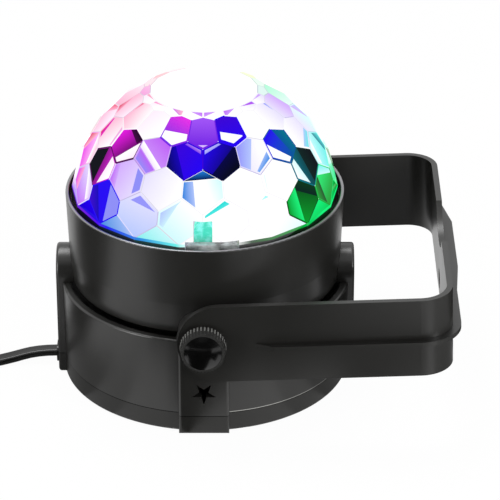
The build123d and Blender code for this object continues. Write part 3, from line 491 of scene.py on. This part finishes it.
def parted_plastic(name, finish, reach, start, colour, shine):
    """Satin black with a thin painted line where the base and its cover part: a painted highlight on the
    base's edge, a painted shadow on the cover's.
    """
    paint = moulded_plastic(name, finish.shell, finish.shell_roughness, shine=shine)
    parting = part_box("base_shell")[0].z
    height = paint.axis("Z")
    line = (height > parting - reach) * (height < parting + reach)
    paint.line_over(line * (paint.axis("X") > start), colour)
    return paint


def head_plastic(finish):
    """The same satin black, with the bright lip at the head's mouth."""
    paint = moulded_plastic("satin_black_with_lip", finish.shell, finish.shell_roughness)
    lip = paint.axis("Z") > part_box("head_shell")[1].z - lip_height
    paint.line_over(lip, paint.mix(paint.noise(40.0, 2.0), toned(finish.lip, 0.2), finish.lip))
    return paint


def knob_plastic(name, node, finish):
    """Knob plastic, with a painted highlight that makes its ridge tops paler."""
    paint = moulded_plastic(name, finish.knob, 0.25)
    low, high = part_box(node)
    across = paint.axis("X") - (low.x + high.x) / 2
    up = paint.axis("Z") - (low.z + high.z) / 2
    reach = (high.z - low.z) / 2 - ridge_highlight_depth
    # Painted highlight on the ridge tops, out past this radius: they are made six times paler
    ridge = across * across + up * up > reach * reach
    paint.set("Base Color", paint.mix(ridge, finish.knob, toned(finish.knob, 6.0)))
    return paint


def cap_plastic():
    """Polished black of the knobs' caps."""
    return moulded_plastic("polished_black", deep_black, 0.17, grain=0.0, shine=0.5)


def lead_rubber(name, finish):
    """Soft black jacket with a faint bloom."""
    paint = Paint(name, specular_ior_level=0.32)
    clouds = paint.noise(120.0, 4.0)
    paint.set("Base Color", paint.mix(clouds, toned(finish.lead, 0.4), finish.lead))
    paint.set("Roughness", clouds * 0.1 + 0.16)
    paint.bump(paint.noise(2600.0), 0.05, 0.02 * mm)
    return paint


def foot_rubber():
    """Matt foamed rubber of the foot pad."""
    paint = Paint("foot_rubber")
    sockets = {"Vector": paint.place(), "Scale": 900.0}
    cells = paint.node("ShaderNodeTexVoronoi", None, sockets, "Distance")
    paint.set("Base Color", paint.mix(cells, (0.02, 0.02, 0.02, 1.0), (0.045, 0.045, 0.043, 1.0)))
    paint.set("Roughness", cells * 0.2 + 0.7)
    paint.bump(cells, 0.3, 0.1 * mm)
    return paint


def plated_steel():
    """Zinc plated screws and shafts."""
    paint = Paint("plated_steel", metallic=1.0)
    streaks = paint.noise(900.0, 3.0)
    paint.set("Base Color", paint.mix(streaks, (0.5, 0.51, 0.54, 1.0), (0.72, 0.72, 0.7, 1.0)))
    paint.set("Roughness", streaks * 0.2 + 0.22)
    return paint


def turned_brass():
    """Turned brass of the threaded inserts and the plug's pins."""
    paint = Paint("turned_brass", metallic=1.0)
    rings = paint.noise(700.0, 2.0, paint.stretched((1.0, 6.0, 1.0)))
    paint.set("Base Color", paint.mix(rings, (0.62, 0.42, 0.16, 1.0), (0.82, 0.62, 0.3, 1.0)))
    paint.set("Roughness", rings * 0.2 + 0.2)
    return paint


def inner_plastic(name, colour):
    """Plain moulding inside the housing, slightly clouded."""
    paint = Paint(name)
    clouds = paint.noise(60.0, 3.0)
    paint.set("Base Color", paint.mix(clouds, toned(colour), colour))
    paint.set("Roughness", clouds * 0.15 + 0.42)
    paint.bump(paint.noise(3000.0), 0.05, 0.03 * mm)
    return paint


def board_laminate(name, mask_colour, trace_colour):
    """Circuit board: solder mask with paler tracks in a grid."""
    paint = Paint(name)
    tracks = paint.node(
        "ShaderNodeTexBrick",
        {"offset": 0.5, "squash": 1.0},
        {
            "Vector": paint.place(),
            "Color1": mask_colour,
            "Color2": mask_colour,
            "Mortar": trace_colour,
            "Scale": 260.0,
            "Mortar Size": 0.03,
        },
    )
    paint.set("Base Color", tracks)
    paint.set("Roughness", paint.noise(200.0) * 0.15 + 0.3)
    return paint


def emitter_glow(name, colour):
    """A light emitter, bright in its middle."""
    paint = Paint(name, roughness=0.3, emission_strength=1.0)
    chip = paint.noise(800.0)
    paint.set("Base Color", (0.8, 0.8, 0.75, 1.0))
    paint.set("Emission Color", paint.mix(chip, linear(colour), linear(white)))
    return paint


def lens_glow(name, colour):
    """A lens filled with its emitter's light."""
    paint = Paint(name, roughness=0.12, emission_strength=1.0)
    rise = (paint.axis("Z") - (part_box(name)[1].z - lens_rise)) * 120.0
    paint.set("Base Color", (0.5, 0.5, 0.5, 1.0))
    paint.set("Emission Color", paint.mix(rise, linear(colour), linear(white)))
    return paint


def receiver_resin():
    """Tinted resin of the remote control receiver, with a painted glow for the LED light behind it."""
    paint = Paint("receiver_resin", roughness=0.15, specular_ior_level=0.1, emission_strength=1.0)
    rise = (paint.axis("Z") - (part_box("ir_receiver")[1].z - receiver_rise)) * 200.0
    # Painted highlights: the noise lifts the glow to a paler colour in patches, and the glow fades to a
    # darker foot at the bottom
    clouds = (paint.noise(420.0, 2.0) - 0.45) * 5.0
    glow = paint.mix(clouds, linear(resin_glow), linear(resin_bright))
    paint.set("Base Color", linear(resin_dark))
    paint.set("Emission Color", paint.mix(rise, linear(resin_foot), glow))
    return paint


def holder_plastic():
    """Pale grey foot in front of the receiver."""
    paint = Paint("holder_grey", roughness=0.4)
    clouds = (paint.noise(260.0, 3.0) - 0.4) * 4.0
    paint.set("Base Color", paint.mix(clouds, linear(holder_dark), linear(holder_pale)))
    paint.bump(clouds, 0.2, 0.1 * mm)
    return paint


def crystal(settings):
    """Clear moulded dome, filled with coloured light, facet by facet."""
    paint = Paint("lit_crystal", roughness=settings.roughness, emission_strength=1.0)
    paint.set("Specular IOR Level", settings.shine)
    across, height = paint.axis("X"), paint.axis("Z")
    front = paint.axis("Y") < 0.0
    windows = []
    for name in ("ir_receiver", "receiver_holder"):
        low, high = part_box(name)
        over = (across > low.x) * (across < high.x)
        windows.append(over * (height < high.z + settings.sight))
    clear = windows[0].highest(windows[1]) * front
    # The glow attribute is the LED light painted on each facet: it sets the glow and a dim share of the
    # colour
    glow = paint.node("ShaderNodeAttribute", {"attribute_name": "glow"}, output="Color")
    shade = paint.mix(paint.noise(90.0, 2.0) * 0.08, glow, black)
    rim_height = settings.middle + settings.dark_rim
    place = across * (1 / low_glow_width) + 0.5
    low_light = paint.node("ShaderNodeValToRGB", {"stops": low_stops}, {"Fac": place})
    shade = paint.mix((height < rim_height + settings.low_glow) * front, shade, low_light)
    paint.set("Base Color", paint.mix(0.92, glow, black))
    # Painted shade: under the rim height the dome's glow is black
    paint.set("Emission Color", paint.mix(height < rim_height, shade, rim_shade_black))
    paint.set("Alpha", 1.0 - clear * 0.97)
    return paint


def crystal_inside():
    """The dome's smooth inner wall, almost clear."""
    paint = Paint("clear_inner_wall", roughness=0.1, emission_strength=1.0)
    paint.set("Base Color", (0.8, 0.8, 0.85, 1.0))
    # A faint painted glow for the LED light in the inner wall
    paint.set("Emission Color", (0.25, 0.25, 0.25, 1.0))
    paint.set("Alpha", paint.noise(60.0) * 0.08 + 0.02)
    return paint


def placed(name, data):
    """A new object in the scene."""
    piece = bpy.data.objects.new(name, data)
    bpy.context.scene.collection.objects.link(piece)
    return piece


def new_piece(name, data, body, slot, *nodes):
    """A new piece in the frame, on its body, standing for CAD nodes."""
    piece = placed(name, data)
    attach(piece, body)
    if nodes:
        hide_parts(*nodes)
    return piece


def coat(paint, *names):
    """Gives CAD nodes one material."""
    for name in names:
        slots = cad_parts[name].data.materials
        slots.clear()
        slots.append(paint.material)


def facet_frame(row, steps, radius):
    """The middle of a facet, its outward direction, and its directions to the right and up."""
    latitude = math.radians(facet_latitudes[row])
    turn = math.radians(-90 + steps * half_step)
    level = math.cos(latitude)
    outward = Vector((level * math.cos(turn), level * math.sin(turn), math.sin(latitude)))
    right = Vector((-math.sin(turn), math.cos(turn), 0.0))
    return outward * radius, outward, right, outward.cross(right)


def towards_side(right, up, side):
    """The direction in a facet's plane, in degrees from its right."""
    angle = math.radians(side)
    return right * math.cos(angle) + up * math.sin(angle)


def cut_away(bm, place, outward):
    """Cuts the solid with a plane, keeps its inner side and closes it."""
    everything = bm.verts[:] + bm.edges[:] + bm.faces[:]
    cut = bmesh.ops.bisect_plane(
        bm, geom=everything, dist=cut_tolerance, plane_co=place, plane_no=outward, clear_outer=True
    )
    edges = [part for part in cut["geom_cut"] if isinstance(part, bmesh.types.BMEdge)]
    if edges:
        bmesh.ops.contextual_create(bm, geom=edges)


def facet_places():
    """Every facet's row and its half steps round from the front."""
    for row in range(len(facet_latitudes)):
        for k in range(-facets_per_row // 2, facets_per_row // 2):
            yield row, row % 2 + 2 * k


def round_colour(degrees):
    """The light's colour at an angle from the front."""
    for (start, first), (end, second) in zip(round_colours, round_colours[1:]):
        if start <= degrees <= end:
            return between(first, second, (degrees - start) / (end - start))
    return round_colours[0][1]


def chance_look(row, degrees, dice):
    """A facet's painted light where the front doesn't show it: pale, deep, dark or soft."""
    hue = round_colour(degrees)
    upper = row >= first_pale_row
    kind = dice.random()
    side = dice.choice((60, 90, 120, 240, 270, 300))
    pale = between(white, hue, 0.15 if upper else 0.2)
    soft = between(white, hue, 0.4 if upper else 0.5)
    dark = between(hue, ink, 0.75)
    start = dice.uniform(0.4, 2.4) if row < top_row else -3.5
    if upper or kind < pale_draw:
        patches = ((side + 160, start + 1.5, 0.4, soft, hue),) if kind < patch_draw else ()
        return pale, soft, side, patches
    if kind < deep_draw:
        return hue, dark, side, ((side + 180, start, 0.4, white, pale),)
    if kind < dark_draw:
        return dark, hue, side, ((side + 30, start + 1.0, 0.3, soft, hue),)
    return soft, hue, side, ()


def crystal_solid(radius, flat_height):
    """The dome's outside: a block cut by every facet's plane, by the flat top and by its foot."""
    bm = bmesh.new()
    bmesh.ops.create_cube(bm, size=3 * radius)
    for row, steps in facet_places():
        place, outward = facet_frame(row, steps, radius)[:2]
        cut_away(bm, place, outward)
    cut_away(bm, Vector((0, 0, flat_height)), Vector((0, 0, 1)))
    cut_away(bm, Vector((0, 0, -skirt_depth)), Vector((0, 0, -1)))
    bmesh.ops.remove_doubles(bm, verts=bm.verts[:], dist=weld_distance)
    return bm


def patch_facet(bm, face, zone_layer, zones, middle, right, up, patch, extent):
    """Splits a patch of painted reflection off a facet and gives it a zone of its own. Returns the rest
    of the facet.
    """
    side, start, rim, first, second = patch
    towards = towards_side(right, up, side)
    split = bmesh.ops.bisect_plane(
        bm,
        geom=[face] + face.edges[:] + face.verts[:],
        dist=cut_tolerance,
        plane_co=middle + towards * start * mm,
        plane_no=towards,
    )
    parts = [part for part in split["geom"] if isinstance(part, bmesh.types.BMFace)]
    if len(parts) < 2:
        return face
    parts.sort(key=lambda part: (part.calc_center_median() - middle).dot(towards))
    inner, outer = parts[0], parts[-1]
    if rim:
        bmesh.ops.inset_individual(bm, faces=[outer], thickness=rim * mm, use_even_offset=True)
    outer[zone_layer] = len(zones)
    zones.append((middle, towards, start * mm, extent, first, second))
    return inner


def flat_zone(face, colour):
    """A zone of one colour, for a whole face."""
    return face.calc_center_median(), Vector((0, 0, 1)), 0.0, 1.0, colour, colour


def paint_zones(bm, zone_layer, zones):
    """Writes each face's painted light at its corners, as a run from one side of its facet to the other.
    """
    glow = bm.loops.layers.float_color.new("glow")
    for face in bm.faces:
        if face[zone_layer] == no_zone:
            continue
        middle, towards, start, end, first, second = zones[face[zone_layer]]
        run = max(end - start, weld_distance)
        for loop in face.loops:
            share = ((loop.vert.co - middle).dot(towards) - start) / run
            loop[glow] = linear(between(first, second, min(max(share, 0.0), 1.0)))


class DomeSettings(bpy.types.PropertyGroup):
    """Sizes and looks of the faceted dome."""

    radius: FloatProperty(
        name="Facet distance", description="How far each facet's middle is from the dome's middle",
        default=0.0405, unit="LENGTH",
    )
    middle: FloatProperty(
        name="Middle height", description="Height of the dome's middle over the floor",
        default=0.05715, unit="LENGTH",
    )
    wall: FloatProperty(
        name="Wall", description="From the facets to the smooth inner wall", default=0.00225,
        unit="LENGTH",
    )
    edge: FloatProperty(
        name="Edge width", description="Width of the small chamfer between facets", default=0.00016,
        unit="LENGTH",
    )
    roughness: FloatProperty(name="Roughness", description="Of the facets", default=0.06)
    shine: FloatProperty(name="Shine", description="Strength of the facets' reflections", default=0.03)
    sight: FloatProperty(
        name="Sight line rise",
        description="How much higher than a part behind it the dome is clear", default=0.0034,
        unit="LENGTH",
    )
    low_glow: FloatProperty(
        name="Low glow height", description="Height of the band of light over the dark rim",
        default=0.0009, unit="LENGTH",
    )
    dark_rim: FloatProperty(
        name="Dark rim height", description="How far over its middle the dome's foot stays dark",
        default=0.0042, unit="LENGTH",
    )


class CordSettings(bpy.types.PropertyGroup):
    """Sizes of the flat twin lead."""

    width: FloatProperty(
        name="Width", description="Over both cores", default=0.0048, unit="LENGTH"
    )
    thickness: FloatProperty(
        name="Thickness", description="Over one core", default=0.0024, unit="LENGTH"
    )
    length: FloatProperty(
        name="Length", description="From the gland to the plug", default=1.026, unit="LENGTH"
    )


class FinishSettings(bpy.types.PropertyGroup):
    """Colours and gloss of the plastics, the lip and the lead."""

    shell: FloatVectorProperty(
        name="Shell", description="Colour of the base, head and strap", size=4, subtype="COLOR",
        default=(0.0105, 0.0103, 0.0092, 1.0),
    )
    shell_roughness: FloatProperty(
        name="Shell roughness", description="Of the base, head and strap", default=0.33
    )
    knob: FloatVectorProperty(
        name="Knob", description="Colour of the knurled knobs", size=4, subtype="COLOR",
        default=(0.022, 0.022, 0.021, 1.0),
    )
    lip: FloatVectorProperty(
        name="Lip", description="Colour of the bright lip at the head's mouth", size=4,
        subtype="COLOR", default=(0.4, 0.4, 0.42, 1.0),
    )
    lead: FloatVectorProperty(
        name="Lead", description="Colour of the lead, gland and plug", size=4, subtype="COLOR",
        default=(0.008, 0.008, 0.008, 1.0),
    )
    board: FloatVectorProperty(
        name="Board", description="Colour of the supply and control boards", size=4,
        subtype="COLOR", default=(0.01, 0.12, 0.04, 1.0),
    )


class StageSettings(bpy.types.PropertyGroup):
    """Camera, lamps and background."""

    camera_place: FloatVectorProperty(
        name="Camera place", description="Where the camera stands",
        default=(0.01392, -0.7965, 0.4583), subtype="TRANSLATION",
    )
    camera_tilt: FloatProperty(
        name="Camera tilt", description="Turn about the X axis, from straight down",
        default=math.radians(62.25), subtype="ANGLE",
    )
    lens: FloatProperty(name="Lens", description="Focal length in millimetres", default=208.0)
    light: FloatProperty(name="Light", description="Strength of the soft surround", default=0.3)
    key: FloatProperty(name="Key", description="Power of the main lamp in watts", default=7.0)
    floor_shadow: FloatProperty(
        name="Floor shadow", description="Share of the floor that takes light and shadow", default=0.03
    )


class DressDome(bpy.types.Operator):
    """Builds the faceted dome round the light"""

    bl_idname = "party_light.dome"
    bl_label = "Faceted dome"

    def execute(self, context):
        settings = context.scene.party_dome
        flat_height = dome_high.z - settings.middle
        bm = crystal_solid(settings.radius, flat_height)
        zone_layer = bm.faces.layers.int.new("zone")
        foot = min(bm.faces, key=lambda face: face.calc_center_median().z)
        bmesh.ops.delete(bm, geom=[foot], context="FACES_ONLY")
        bevelled = bmesh.ops.bevel(
            bm,
            geom=[edge for edge in bm.edges if not edge.is_boundary],
            offset=settings.edge, offset_type="OFFSET", affect="EDGES",
            segments=1, profile=0.5, material=-1,
        )
        bm.normal_update()
        for face in bm.faces:
            face[zone_layer] = no_zone
        zones = []
        self.zone_facets(bm, zone_layer, zones, settings.radius)
        self.zone_edges(bevelled["faces"], zone_layer, zones)
        top = max(bm.faces, key=lambda face: face.calc_center_median().z)
        top[zone_layer] = len(zones)
        zones.append(flat_zone(top, white))
        paint_zones(bm, zone_layer, zones)
        self.add_wall(bm, settings, flat_height)
        bmesh.ops.recalc_face_normals(bm, faces=bm.faces[:])
        bmesh.ops.translate(bm, verts=bm.verts[:], vec=(0, 0, settings.middle))
        mesh = bpy.data.meshes.new("faceted_dome")
        bm.to_mesh(mesh)
        bm.free()
        piece = new_piece("faceted_dome", mesh, "dome", "crystal_clear", "crystal_dome")
        piece.data.materials.append(crystal(settings).material)
        piece.data.materials.append(crystal_inside().material)
        return {"FINISHED"}

    def zone_facets(self, bm, zone_layer, zones, radius):
        """Gives each facet its painted light from the front's table or by chance, and its patches of
        painted reflection.
        """
        dice = random.Random(chance_seed)
        facets = []
        for row, steps in facet_places():
            middle, outward, right, up = facet_frame(row, steps, radius)
            face = max(bm.faces, key=lambda other: other.normal.dot(outward))
            facets.append((row, steps, face, middle, right, up))
        for row, steps, face, middle, right, up in facets:
            degrees = (steps * half_step + 180) % 360 - 180
            by_chance = chance_look(row, degrees, dice)
            first, second, side, patches = facet_looks.get((row, degrees), by_chance)
            towards = towards_side(right, up, side)
            extent = max((vert.co - middle).dot(towards) for vert in face.verts)
            face[zone_layer] = len(zones)
            zones.append((middle, towards, -extent, extent, first, second))
            for patch in patches:
                face = patch_facet(bm, face, zone_layer, zones, middle, right, up, patch, extent)

    def zone_edges(self, chamfers, zone_layer, zones):
        """Gives each chamfer the colour of a facet beside it, greyed where the facets are pale."""
        facet_zones = len(zones)
        for face in chamfers:
            if face.is_valid:
                others = [other for edge in face.edges for other in edge.link_faces if other != face]
                beside = [other[zone_layer] for other in others]
                colours = [zones[zone][4] for zone in beside if 0 <= zone < facet_zones] or [white]
                paleness = min(sum(colour) for colour in colours)
                share = next((share for least, share in edge_shades if paleness > least), 0.0)
                face[zone_layer] = len(zones)
                zones.append(flat_zone(face, between(colours[0], edge_violet, share)))

    def add_wall(self, bm, settings, flat_height):
        """The skirt under the facets and the smooth inside, spun about the dome's axis."""
        inner = settings.radius - settings.wall
        skirt = settings.radius - skirt_inset
        foot = dome_low.z - settings.middle
        roof = flat_height - roof_wall
        roof_angle = math.asin(roof / inner)
        profile = [(skirt, -skirt_depth), (skirt, foot), (inner, foot), (inner, 0.0)]
        for k in range(1, roof_steps + 1):
            angle = roof_angle * k / roof_steps
            profile.append((inner * math.cos(angle), inner * math.sin(angle)))
        profile.append((0.0, roof))
        outside = set(bm.faces)
        verts = [bm.verts.new((reach, 0.0, height)) for reach, height in profile]
        edges = [bm.edges.new(pair) for pair in zip(verts, verts[1:])]
        bmesh.ops.spin(
            bm, geom=verts + edges, cent=(0, 0, 0), axis=(0, 0, 1), angle=2 * math.pi,
            steps=round_steps, use_merge=True,
        )
        bmesh.ops.remove_doubles(bm, verts=bm.verts[:], dist=weld_distance)
        rim = [edge for edge in bm.edges if edge.is_boundary]
        bmesh.ops.triangle_fill(bm, edges=rim, use_beauty=True, use_dissolve=False)
        for face in bm.faces:
            if face not in outside:
                face.material_index = 1
                face.smooth = True


def coil_points():
    """The coil's turns: in, up a layer, a step out, and out again, clockwise from its front."""
    points = []
    turns = coil_inward_turns + coil_step_turns + coil_outward_turns
    step_end = coil_inward_turns + coil_step_turns
    stepped = coil_inner_radius + coil_pitch * coil_step_share
    for k in range(round(turns * points_per_turn) + 1):
        turn = k / points_per_turn
        if turn <= coil_inward_turns:
            radius = coil_outer_radius - coil_pitch * turn
        elif turn <= step_end:
            share = (turn - coil_inward_turns) / coil_step_turns
            radius = coil_inner_radius + share * (stepped - coil_inner_radius)
        else:
            radius = stepped + coil_pitch * (turn - step_end)
        climb = (turn - coil_inward_turns + coil_step_turns) / coil_step_turns
        climb = min(max(climb, 0.0), 1.0)
        height = cord_route[-1][2] + coil_layer_pitch * (1 - math.cos(math.pi * climb)) / 2
        angle = -math.pi / 2 - 2 * math.pi * turn
        x = coil_centre[0] + radius * math.cos(angle)
        y = coil_centre[1] + radius * math.sin(angle)
        points.append((x, y, height))
    return points


class DressCord(bpy.types.Operator):
    """Lays the flat lead from the gland to the plug"""

    bl_idname = "party_light.cord"
    bl_label = "Flat lead"

    def execute(self, context):
        settings = context.scene.party_cord
        curve = bpy.data.curves.new("flat_lead", "CURVE")
        curve.dimensions = "3D"
        curve.twist_mode = "Z_UP"
        curve.resolution_u = 4
        points = list(cord_route) + coil_points() + list(tail_route)
        spline = curve.splines.new("NURBS")
        spline.points.add(len(points) - 1)
        for point, place in zip(spline.points, points):
            point.co = (*place, 1.0)
            point.radius = settings.thickness / 2
        spline.order_u = 3
        spline.use_endpoint_u = True
        curve.bevel_mode = "OBJECT"
        curve.bevel_object = self.section(settings)
        curve.use_fill_caps = True
        piece = new_piece("flat_lead", curve, "base", "rubber_black", "power_cord", "cord_coil")
        curve.materials.append(lead_rubber("lead_rubber", context.scene.party_finish).material)
        return {"FINISHED"}

    def section(self, settings):
        """The lead's section in half thicknesses: two round cores with a shallow groove between."""
        spread = settings.width / settings.thickness - 1.0
        places = []
        for side in (1, -1):
            for k in range(core_steps + 1):
                turn = side * math.radians(180 * k / core_steps - 90)
                places.append((side * (spread + math.cos(turn)), math.sin(turn)))
            places.append((0.0, side * groove_share))
        section = bpy.data.curves.new("lead_section", "CURVE")
        section.dimensions = "2D"
        outline = section.splines.new("POLY")
        outline.points.add(len(places) - 1)
        for point, (across, height) in zip(outline.points, places):
            point.co = (across, height, 0.0, 1.0)
        outline.use_cyclic_u = True
        piece = placed("lead_section", section)
        piece.hide_render = True
        return piece


class DressShells(bpy.types.Operator):
    """Gives the housing, strap, knobs and gland their plastics and rubbers"""

    bl_idname = "party_light.shells"
    bl_label = "Housing, strap and knobs"

    def execute(self, context):
        finish = context.scene.party_finish
        strap = moulded_plastic("strap_black", finish.shell, finish.shell_roughness)
        coat(strap, "handle", "handle_ledge")
        # The base's lower edge gets a painted highlight right of the front arm
        base = parted_plastic("base_black", finish, seam_highlight_reach, seam_highlight_start, seam_highlight_grey, 0.6)
        coat(base, "base_shell")
        # The cover's upper edge gets a painted shadow line all round
        cover = parted_plastic("cover_black", finish, seam_shadow_reach, seam_shadow_start, deep_black, 0.42)
        coat(cover, "bottom_cover")
        coat(head_plastic(finish), "head_shell")
        for knob in ("front_knob", "rear_knob"):
            coat(knob_plastic(f"{knob}_black", knob, finish), knob)
        coat(cap_plastic(), "front_cap", "rear_cap")
        coat(lead_rubber("gland_rubber", finish), "cord_gland", "plug_body", "coil_tie")
        coat(foot_rubber(), "foot_pad")
        return {"FINISHED"}


class DressInside(bpy.types.Operator):
    """Gives the drive, boards, lamps and fixings their finishes"""

    bl_idname = "party_light.inside"
    bl_label = "Drive, boards and fixings"

    def execute(self, context):
        all_screws = [f"{name}_{k + 1}" for name, count in screws for k in range(count)]
        coat(plated_steel(), *all_screws, "front_stud", "rear_stud", "motor_shaft", "spin_motor")
        coat(turned_brass(), "front_insert", "rear_insert", "plug_pin_left", "plug_pin_right")
        for name, colour, nodes in inner_plastics:
            coat(inner_plastic(name, colour), *nodes)
        green = board_laminate("board_green", context.scene.party_finish.board, green_track)
        coat(green, "power_board", "control_board")
        coat(board_laminate("board_white", white_mask, white_track), "led_board")
        for name, colour in (("red", red), ("green", spring), ("blue", royal)):
            coat(emitter_glow(f"led_{name}", colour), f"led_{name}")
            coat(lens_glow(f"lens_{name}", colour), f"lens_{name}")
        coat(receiver_resin(), "ir_receiver")
        coat(holder_plastic(), "receiver_holder")
        return {"FINISHED"}


class SetStage(bpy.types.Operator):
    """Sets the camera, the soft lamps and the white surround"""

    bl_idname = "party_light.stage"
    bl_label = "Camera, lamps and floor"

    def execute(self, context):
        settings = context.scene.party_stage
        scene = context.scene
        camera = bpy.data.cameras.new("camera")
        camera.lens = settings.lens
        camera.sensor_width = 36.0
        camera.clip_end = 20.0
        camera_object = placed("camera", camera)
        camera_object.location = settings.camera_place
        camera_object.rotation_euler = (settings.camera_tilt, 0.0, 0.0)
        scene.camera = camera_object
        scene.view_settings.view_transform = "Standard"
        self.surround(scene, settings)
        self.floor(settings)
        for name, place, size, share in lamps:
            self.lamp(name, place, size, share * settings.key)
        for turn, lean, reach, away, height, grey in cards:
            place = (0.0, -away * mm, height * mm)
            self.card(math.radians(turn), math.radians(lean), reach * mm, place, grey)
        return {"FINISHED"}

    def surround(self, scene, settings):
        """White for the camera and for reflections, and a plain soft light on the object."""
        world = bpy.data.worlds.new("surround")
        scene.world = world
        world.use_nodes = True
        nodes = Nodes(world.node_tree)
        soft = nodes.tree.nodes["Background"]
        nodes.feed(soft.inputs["Color"], full_white)
        nodes.feed(soft.inputs["Strength"], settings.light)
        plain = nodes.node("ShaderNodeBackground", None, {"Color": full_white})
        both = nodes.both(nodes.seen(), Value(nodes, soft.outputs[0]), plain)
        nodes.feed(nodes.tree.nodes["World Output"].inputs["Surface"], both)

    def floor(self, settings):
        """A large white floor that keeps a little of the object's shadow."""
        bm = bmesh.new()
        bmesh.ops.create_grid(bm, x_segments=1, y_segments=1, size=6.0)
        paint = Paint("white_floor", roughness=0.9, specular_ior_level=0.0)
        paint.set("Base Color", (0.9, 0.9, 0.9, 1.0))
        share = paint.seen() * (1.0 - settings.floor_shadow)
        glow = paint.node("ShaderNodeEmission")
        both = paint.both(share, Value(paint, paint.surface.outputs[0]), glow)
        paint.feed(paint.tree.nodes["Material Output"].inputs["Surface"], both)
        self.stage_piece("floor", bm, paint)

    def card(self, turn, lean, reach, place, grey):
        """A dark card by the object that only glossy surfaces show, as a dark band."""
        bm = bmesh.new()
        lie = Matrix.Translation(place) @ Matrix.Rotation(lean, 4, "X")
        matrix = Matrix.Rotation(turn, 4, "Z") @ lie
        bmesh.ops.create_circle(bm, cap_ends=True, segments=3, radius=reach, matrix=matrix)
        paint = Paint("flag_black", roughness=1.0, specular_ior_level=0.0, emission_strength=1.0)
        paint.set("Emission Color", (grey, grey, grey, 1.0))
        paint.set("Base Color", black)
        card = self.stage_piece("flag", bm, paint)
        card.visible_camera = False
        card.visible_diffuse = False
        card.visible_shadow = False
        card.visible_transmission = False

    def stage_piece(self, name, bm, paint):
        """A piece of the stage, which isn't part of the object."""
        mesh = bpy.data.meshes.new(name)
        bm.to_mesh(mesh)
        bm.free()
        mesh.materials.append(paint.material)
        piece = placed(name, mesh)
        return piece

    def lamp(self, name, place, size, power):
        """A soft rectangular lamp that faces the object."""
        data = bpy.data.lights.new(name, "AREA")
        data.shape = "RECTANGLE"
        data.size, data.size_y = size
        data.energy = power
        lamp = placed(name, data)
        lamp.location = place
        aim = Vector(lamp_aim) - Vector(place)
        lamp.rotation_euler = aim.to_track_quat("-Z", "Y").to_euler()


class PartyLightPanel(bpy.types.Panel):
    """Lists the light's pieces and its stage"""

    bl_idname = "VIEW3D_PT_party_light"
    bl_label = "Party light"
    bl_space_type = "VIEW_3D"
    bl_region_type = "UI"
    bl_category = "Party light"

    def draw(self, context):
        for operator in operators:
            self.layout.operator(operator.bl_idname)
        for name, group in groups:
            settings = getattr(context.scene, name)
            for field in group.__annotations__:
                self.layout.prop(settings, field)


operators = (SetStage, DressCord, DressDome, DressShells, DressInside)
groups = (
    ("party_dome", DomeSettings),
    ("party_cord", CordSettings),
    ("party_finish", FinishSettings),
    ("party_stage", StageSettings),
)


def register():
    for name, group in groups:
        bpy.utils.register_class(group)
        setattr(bpy.types.Scene, name, PointerProperty(type=group))
    for operator in operators:
        bpy.utils.register_class(operator)
    bpy.utils.register_class(PartyLightPanel)


def unregister():
    bpy.utils.unregister_class(PartyLightPanel)
    for operator in reversed(operators):
        bpy.utils.unregister_class(operator)
    for name, group in reversed(groups):
        delattr(bpy.types.Scene, name)
        bpy.utils.unregister_class(group)


def main():
    register()
    bpy.ops.party_light.stage()
    bpy.ops.party_light.cord()
    bpy.ops.party_light.dome()
    bpy.ops.party_light.shells()
    bpy.ops.party_light.inside()


if __name__ == "__main__":
    main()
